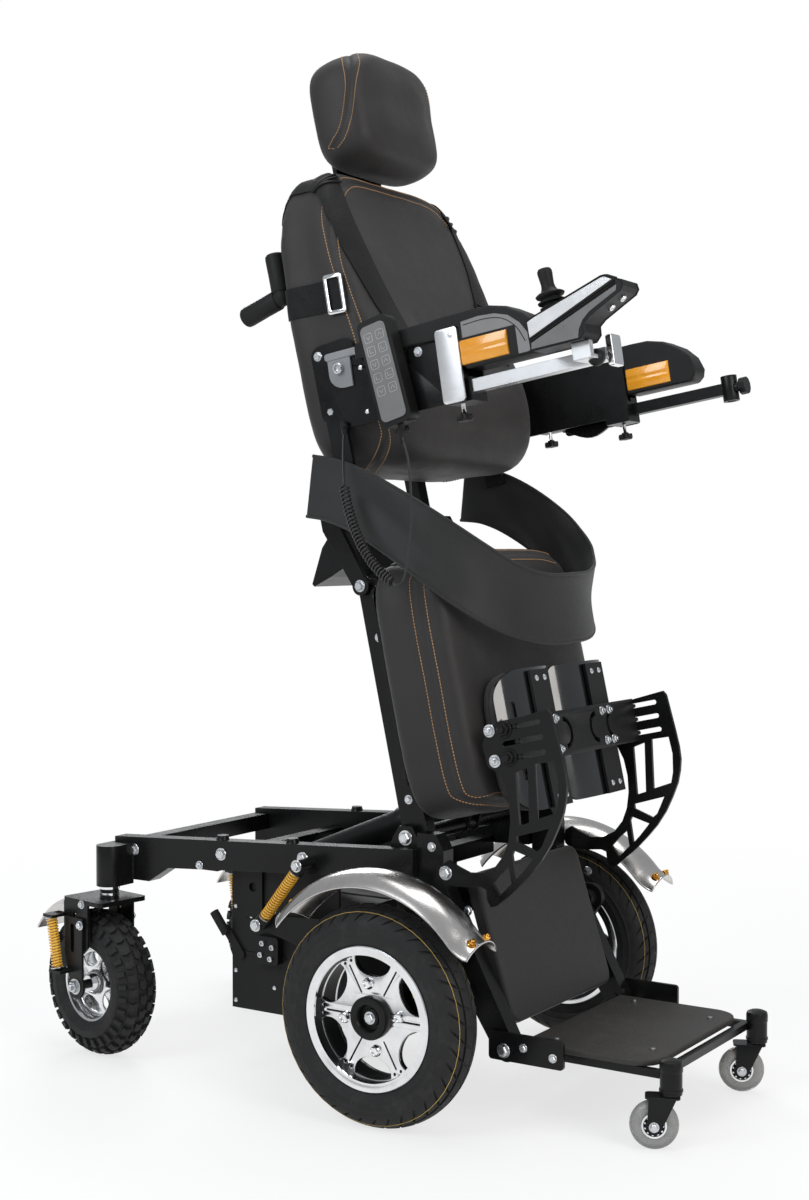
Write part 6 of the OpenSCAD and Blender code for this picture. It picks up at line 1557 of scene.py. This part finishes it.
def arm(name, side):
    body = f"arm_{name}"
    at = ARM @ UPRIGHT
    outline = [(PAD_X + a * PAD_LEN, PAD_Z + b * PAD_H) for a, b in PAD_LINE]
    pad = Shape().prism(outline, side * PAD_IN, side * PAD_OUT, at)
    pad.make(f"arm_pad_{name}_foam", SOFT_TOP, body, 50, 6.0, 4, (f"arm_pad_{name}",))
    cover = Shape().prism(SIDE_COVER, side * (PAD_OUT - 1), side * (PAD_OUT + 0.6), at)
    cover.make(f"arm_cover_{name}", GREY_PLASTIC if side < 0 else PLASTIC, body, ease=0.8)
    groove = smooth_path([(x, side * (PAD_OUT + 0.1), z) for x, z in COVER_GROOVE], 8)
    Shape().swept(groove, 0.9, ARM, 8).make(f"arm_cover_{name}_line", PLASTIC, body)
    # Ribbed reflectors on both side faces of the pad
    lens = Shape()
    for face, way, x0 in ((PAD_OUT, 1, 252.5), (PAD_IN, -1, 261.5)):
        lens.loft([[(x0 + x, side * (face + way * (rise * share - 0.6)), z) for z, rise in LENS_SECTION]
                   for x, share in LENS_ENDS], ARM, capped=True)
    lens.make(f"arm_lens_{name}", LENS, body, 25, 0.7)
    # Clamp plate, outer plate over the bar's tail with its slot, and pivot boss
    clamp = side_plate(rounded(212.6, -106.4, 252.2, 8.2, 6), [], side, CLAMP_IN, CLAMP_T, 0.8)
    clamp.make(f"arm_clamp_{name}", BRUSHED if side < 0 else BLACK_COAT, body, 30, slot="polished_alloy")
    outer = side_plate(rounded(108, -104, 216, 4, 8), [rounded(150, -30, 156, -6, 2.5)], side, OUTER_IN, OUTER_T, 0.6)
    outer.make(f"arm_outer_plate_{name}", BLACK_COAT, body, 30)
    boss = Shape().prism(BOSS, side * PANEL_FACE, side * 256, at)
    boss.prism(rounded(-26, 16, 52, 28, 5), side * PANEL_FACE, side * 257.5, at)
    boss.make(f"arm_boss_{name}", DARK_GREY, body, ease=0.8)
    # Rivet, knobs under the bar and panel, bolt of the outer plate, and screws of the boss and panel
    for form, x, y, z, size in (
        (pan_screw, 240, 303.4, -4, 4), (hex_bolt, 174, OUTER_IN + OUTER_T, -14, 6), (socket_screw, 0, 256.2, 0, 9),
        (pan_screw, 38, 252, -6, 4.5), (pan_screw, 40, 252, -78, 4),
    ):
        form(fasteners(body), beside(ARM, side, x, y, z), size)
    for x, y, z in ((232, 278, -106), (98, 249, -96)):
        star_knob(body, facing(ARM, (x, side * y, z), (0, 0, -1)))


for name, side in SIDES.items():
    arm(name, side)

# Curved wing on the left arm, under its bar
lower = [(222 - 11.2 * k, -97 - 20 * math.sin(math.pi * k / 10) ** 1.5) for k in range(11)]
wing = Shape().prism([(110, -95), (222, -95)] + lower, 274, 282, ARM @ UPRIGHT)
wing.make("tray_bar_wing", BLACK_COAT, "arm_left", ease=1.5)

# Hand control: keypad with plain key frames and arrows
KEY_FACE = -28.2
keypad = Shape().prism(rounded(-23, -164, 23, -10, 9), KEY_FACE + 2, KEY_FACE, HAND @ UPRIGHT)
keypad.make("hand_keypad", KEYPAD, "arm_right", ease=0.2)
marks = Shape()
for row in range(5):
    for column in BOTH:
        sign = [(-3.2, -2.4 * column), (0, 3.0 * column), (3.2, -2.4 * column)]
        if row % 2:
            sign = [(-3, 3), (-3, -2.6), (3.4, -2.6)]
        for line, r, closed in ((rounded(-7, -7, 7, 7, 2.4, 4), 0.32, True), (sign, 0.4, False)):
            x, z = column * 10.8, -HAND_LEN * (0.17 + 0.125 * row)
            marks.swept([(x + a, KEY_FACE, z + b) for a, b in line], r, HAND, 6, closed)
marks.make("hand_key_marks", MARKING, "arm_right")

# Joystick box: side panels, edge lines, face panel with lamps and buttons, and screws under it
BOX_LINE = [(0.01, 0), (0.52, 0), (0.57, 0.1), (0.575, 0.26), (0.64, 0.36), (0.97, 0.66), (1, 0.74), (0.99, 0.84),
            (0.84, 1), (0.8, 1), (0.08, 0.6), (0, 0.54)]
BOX_IN, BOX_OUT, BOX_MID, BOX_LEN, BOX_H = 300.6, 352.6, -326.6, 158, 80
UPPER_SIDE = [(399.5, -26), (411, -21.5), (524, 9.6), (530, 9.6), (541, 3.5), (400.5, -49)]
LOWER_SIDE = [(402, -57), (547, -5.5), (545, -13.5), (500, -33), (488, -42), (480, -54), (477, -66), (401, -66)]


def on_box(a, b):
    return (398 + a * BOX_LEN, -68 + b * BOX_H)


for outline, name, finish in ((UPPER_SIDE, "controller_upper_sides", SILVER),
                              (LOWER_SIDE, "controller_lower_sides", GUNMETAL)):
    panel = Shape()
    for y0, y1 in ((-BOX_OUT - 1.2, -BOX_OUT + 0.5), (-BOX_IN - 0.5, -BOX_IN + 0.5)):
        panel.prism(outline, y0, y1, ARM @ UPRIGHT)
    panel.make(name, finish, "control_bar", ease=0.7)
lines = Shape()
for drop in (0, 3.6):
    for y in (-BOX_OUT - 0.7, -BOX_IN - 0.1):
        lines.swept([(400.5, y, -51.2 - drop), (545, y, 1.4 - drop)], 1.1, ARM, 8)
for y in (-BOX_OUT, -BOX_IN - 0.3):
    box_line = [on_box(0.5 + (a - 0.5) * 1.002, 0.5 + (b - 0.5) * 1.002) for a, b in BOX_LINE]
    lines.swept([(x, y, z) for x, z in box_line], 1.1, ARM, 8, True)
lines.make("controller_lines", PLASTIC, "control_bar")
x, z = on_box(0.62, 0.9)
face_at = ARM @ move(x, BOX_MID, z) @ Matrix.Rotation(-math.atan2(0.4 * BOX_H, 0.72 * BOX_LEN), 4, "Y")
face = Shape().prism(rounded(-22, -20, 36, 20, 5), 0.2, 1.4, face_at)
face.make("controller_face", GLOSS, "control_bar", ease=0.5)
lamps, buttons = Shape(), Shape()
for x in range(-14, 15, 7):
    lamps.prism(rounded(x, -3, x + 5, 3, 1), 1.2, 1.9, face_at)
lamps.make("controller_lamps", LENS, "control_bar")
for x, y in ((-10, -13), (8, -13), (-10, 13), (8, 13), (26, -12), (26, 12)):
    buttons.turned([(0, 1.2), (4.4, 1.2), (4.4, 2.6), (3.4, 3.2), (0, 3.0)], face_at @ move(x, y, 0), 20)
buttons.make("controller_buttons", RUBBER, "control_bar")
for x, z in (on_box(0.78, 0.5), on_box(0.9, 0.61)):
    socket_screw(fasteners("control_bar", "chrome"), facing(ARM, (x, BOX_MID, z), (0.67, 0, -0.74)), 5.5)
# Ball knob and stop of the joystick bar, and the stick's bellows, fuller than its plain cone
BALL_R = 13
ball_at = beside(ARM, -1, 478, 288, -90)
ball = fasteners("control_bar", "dark")
ball.turned([(0, 4)] + [(s, 17 - c) for c, s in arc(BALL_R, 0, 180, 12)[1:-1]] + [(0, 30)], ball_at)
ball.turned([(0, -1), (6, -1), (6, 6), (0, 6)], ball_at, 20)
stop = Shape().prism(rounded(-294, -104, -262, -58, 4), 490, 500, ARM @ FACING_ON)
stop.make("joystick_bar_stop", CHROME, "control_bar", ease=1.6, segments=3)
boot = Shape().turned([
    (0, 5), (15, 6), (18.5, 8), (19, 10), (13.5, 13), (13.5, 14), (20, 16.5), (20.6, 18.5), (14, 22), (14, 23),
    (20.6, 26), (21.8, 28.4), (20, 30), (13, 33.5), (10.6, 38), (9.6, 44), (10.2, 52), (11, 60), (10.8, 64.5),
    (9, 67.5), (0, 68.4)], STICK, 48)
boot.make("stick_boot", RUBBER, "stick", 40)

for (body, kind), shape in gathered.items():
    shape.make(f"{body}_{kind}_fasteners", FASTENER_KINDS[kind], body, 28)

# Floor, light and backdrop
FLOOR_HALF = 30
WHITE = (1, 1, 1, 1)
floor_mesh = bpy.data.meshes.new("floor")
floor_mesh.from_pydata([(FLOOR_HALF * x, FLOOR_HALF * y, 0) for x, y in ((-1, -1), (1, -1), (1, 1), (-1, 1))], [],
                       [(0, 1, 2, 3)])
floor = linked("floor", floor_mesh)
paper = Finish("pale_floor", Base_Color=(0.86, 0.86, 0.86, 1), Roughness=0.7)
glow = paper.node("Emission", {"Color": WHITE, "Strength": 1.0})
ray, shine = [paper.node("LightPath", out=out) for out in ("Is Camera Ray", "Is Glossy Ray")]
seen = paper.node("Math", {0: ray, 1: shine}, operation="MAXIMUM")
reach = paper.node("VectorMath", {0: paper.place}, "Value", operation="LENGTH")
shown = seen * (0.72 + 0.28 * paper.shift(reach, 0.9, 2.6))
paper.feed(paper.output.inputs[0], paper.node("MixShader", {0: shown, 1: paper.surface, 2: glow}))
paint(floor, paper.material)

world = bpy.data.worlds.new("studio")
world.use_nodes = True
scene.world = world
studio = Nodes(world.node_tree)
room = studio.node("Background", {0: (0.93, 0.96, 1.0, 1), 1: 0.42})
white = studio.node("Background", {0: WHITE, 1: 1.0})
ray = studio.node("LightPath", out="Is Camera Ray")
studio.node("OutputWorld", {0: studio.node("MixShader", {0: ray, 1: room, 2: white})})

for name, at, target, (wide, high), power, colour in (
    ("key", (-0.9, -3.4, 2.9), (0, 0, 0.9), (1.8, 1.8), 66, (0.90, 0.95, 1.0)),
    ("front", (3.6, -1.2, 2.4), (0, 0, 0.9), (1.6, 2.2), 64, (1.0, 0.965, 0.93)),
    ("rear", (-2.6, 2.8, 2.6), (0, 0, 1.0), (1.6, 1.6), 60, (1.0, 1.0, 1.0)),
    ("top", (0.2, 0.2, 4.2), (0, 0, 0), (2.2, 2.2), 60, (1.0, 1.0, 1.0)),
):
    lamp = put(bpy.data.lights.new(name, "AREA"), shape="RECTANGLE", size=wide, size_y=high, energy=power, color=colour)
    aim(linked(name, lamp), at, Vector(target) - Vector(at))

scene.view_settings.view_transform = "Standard"
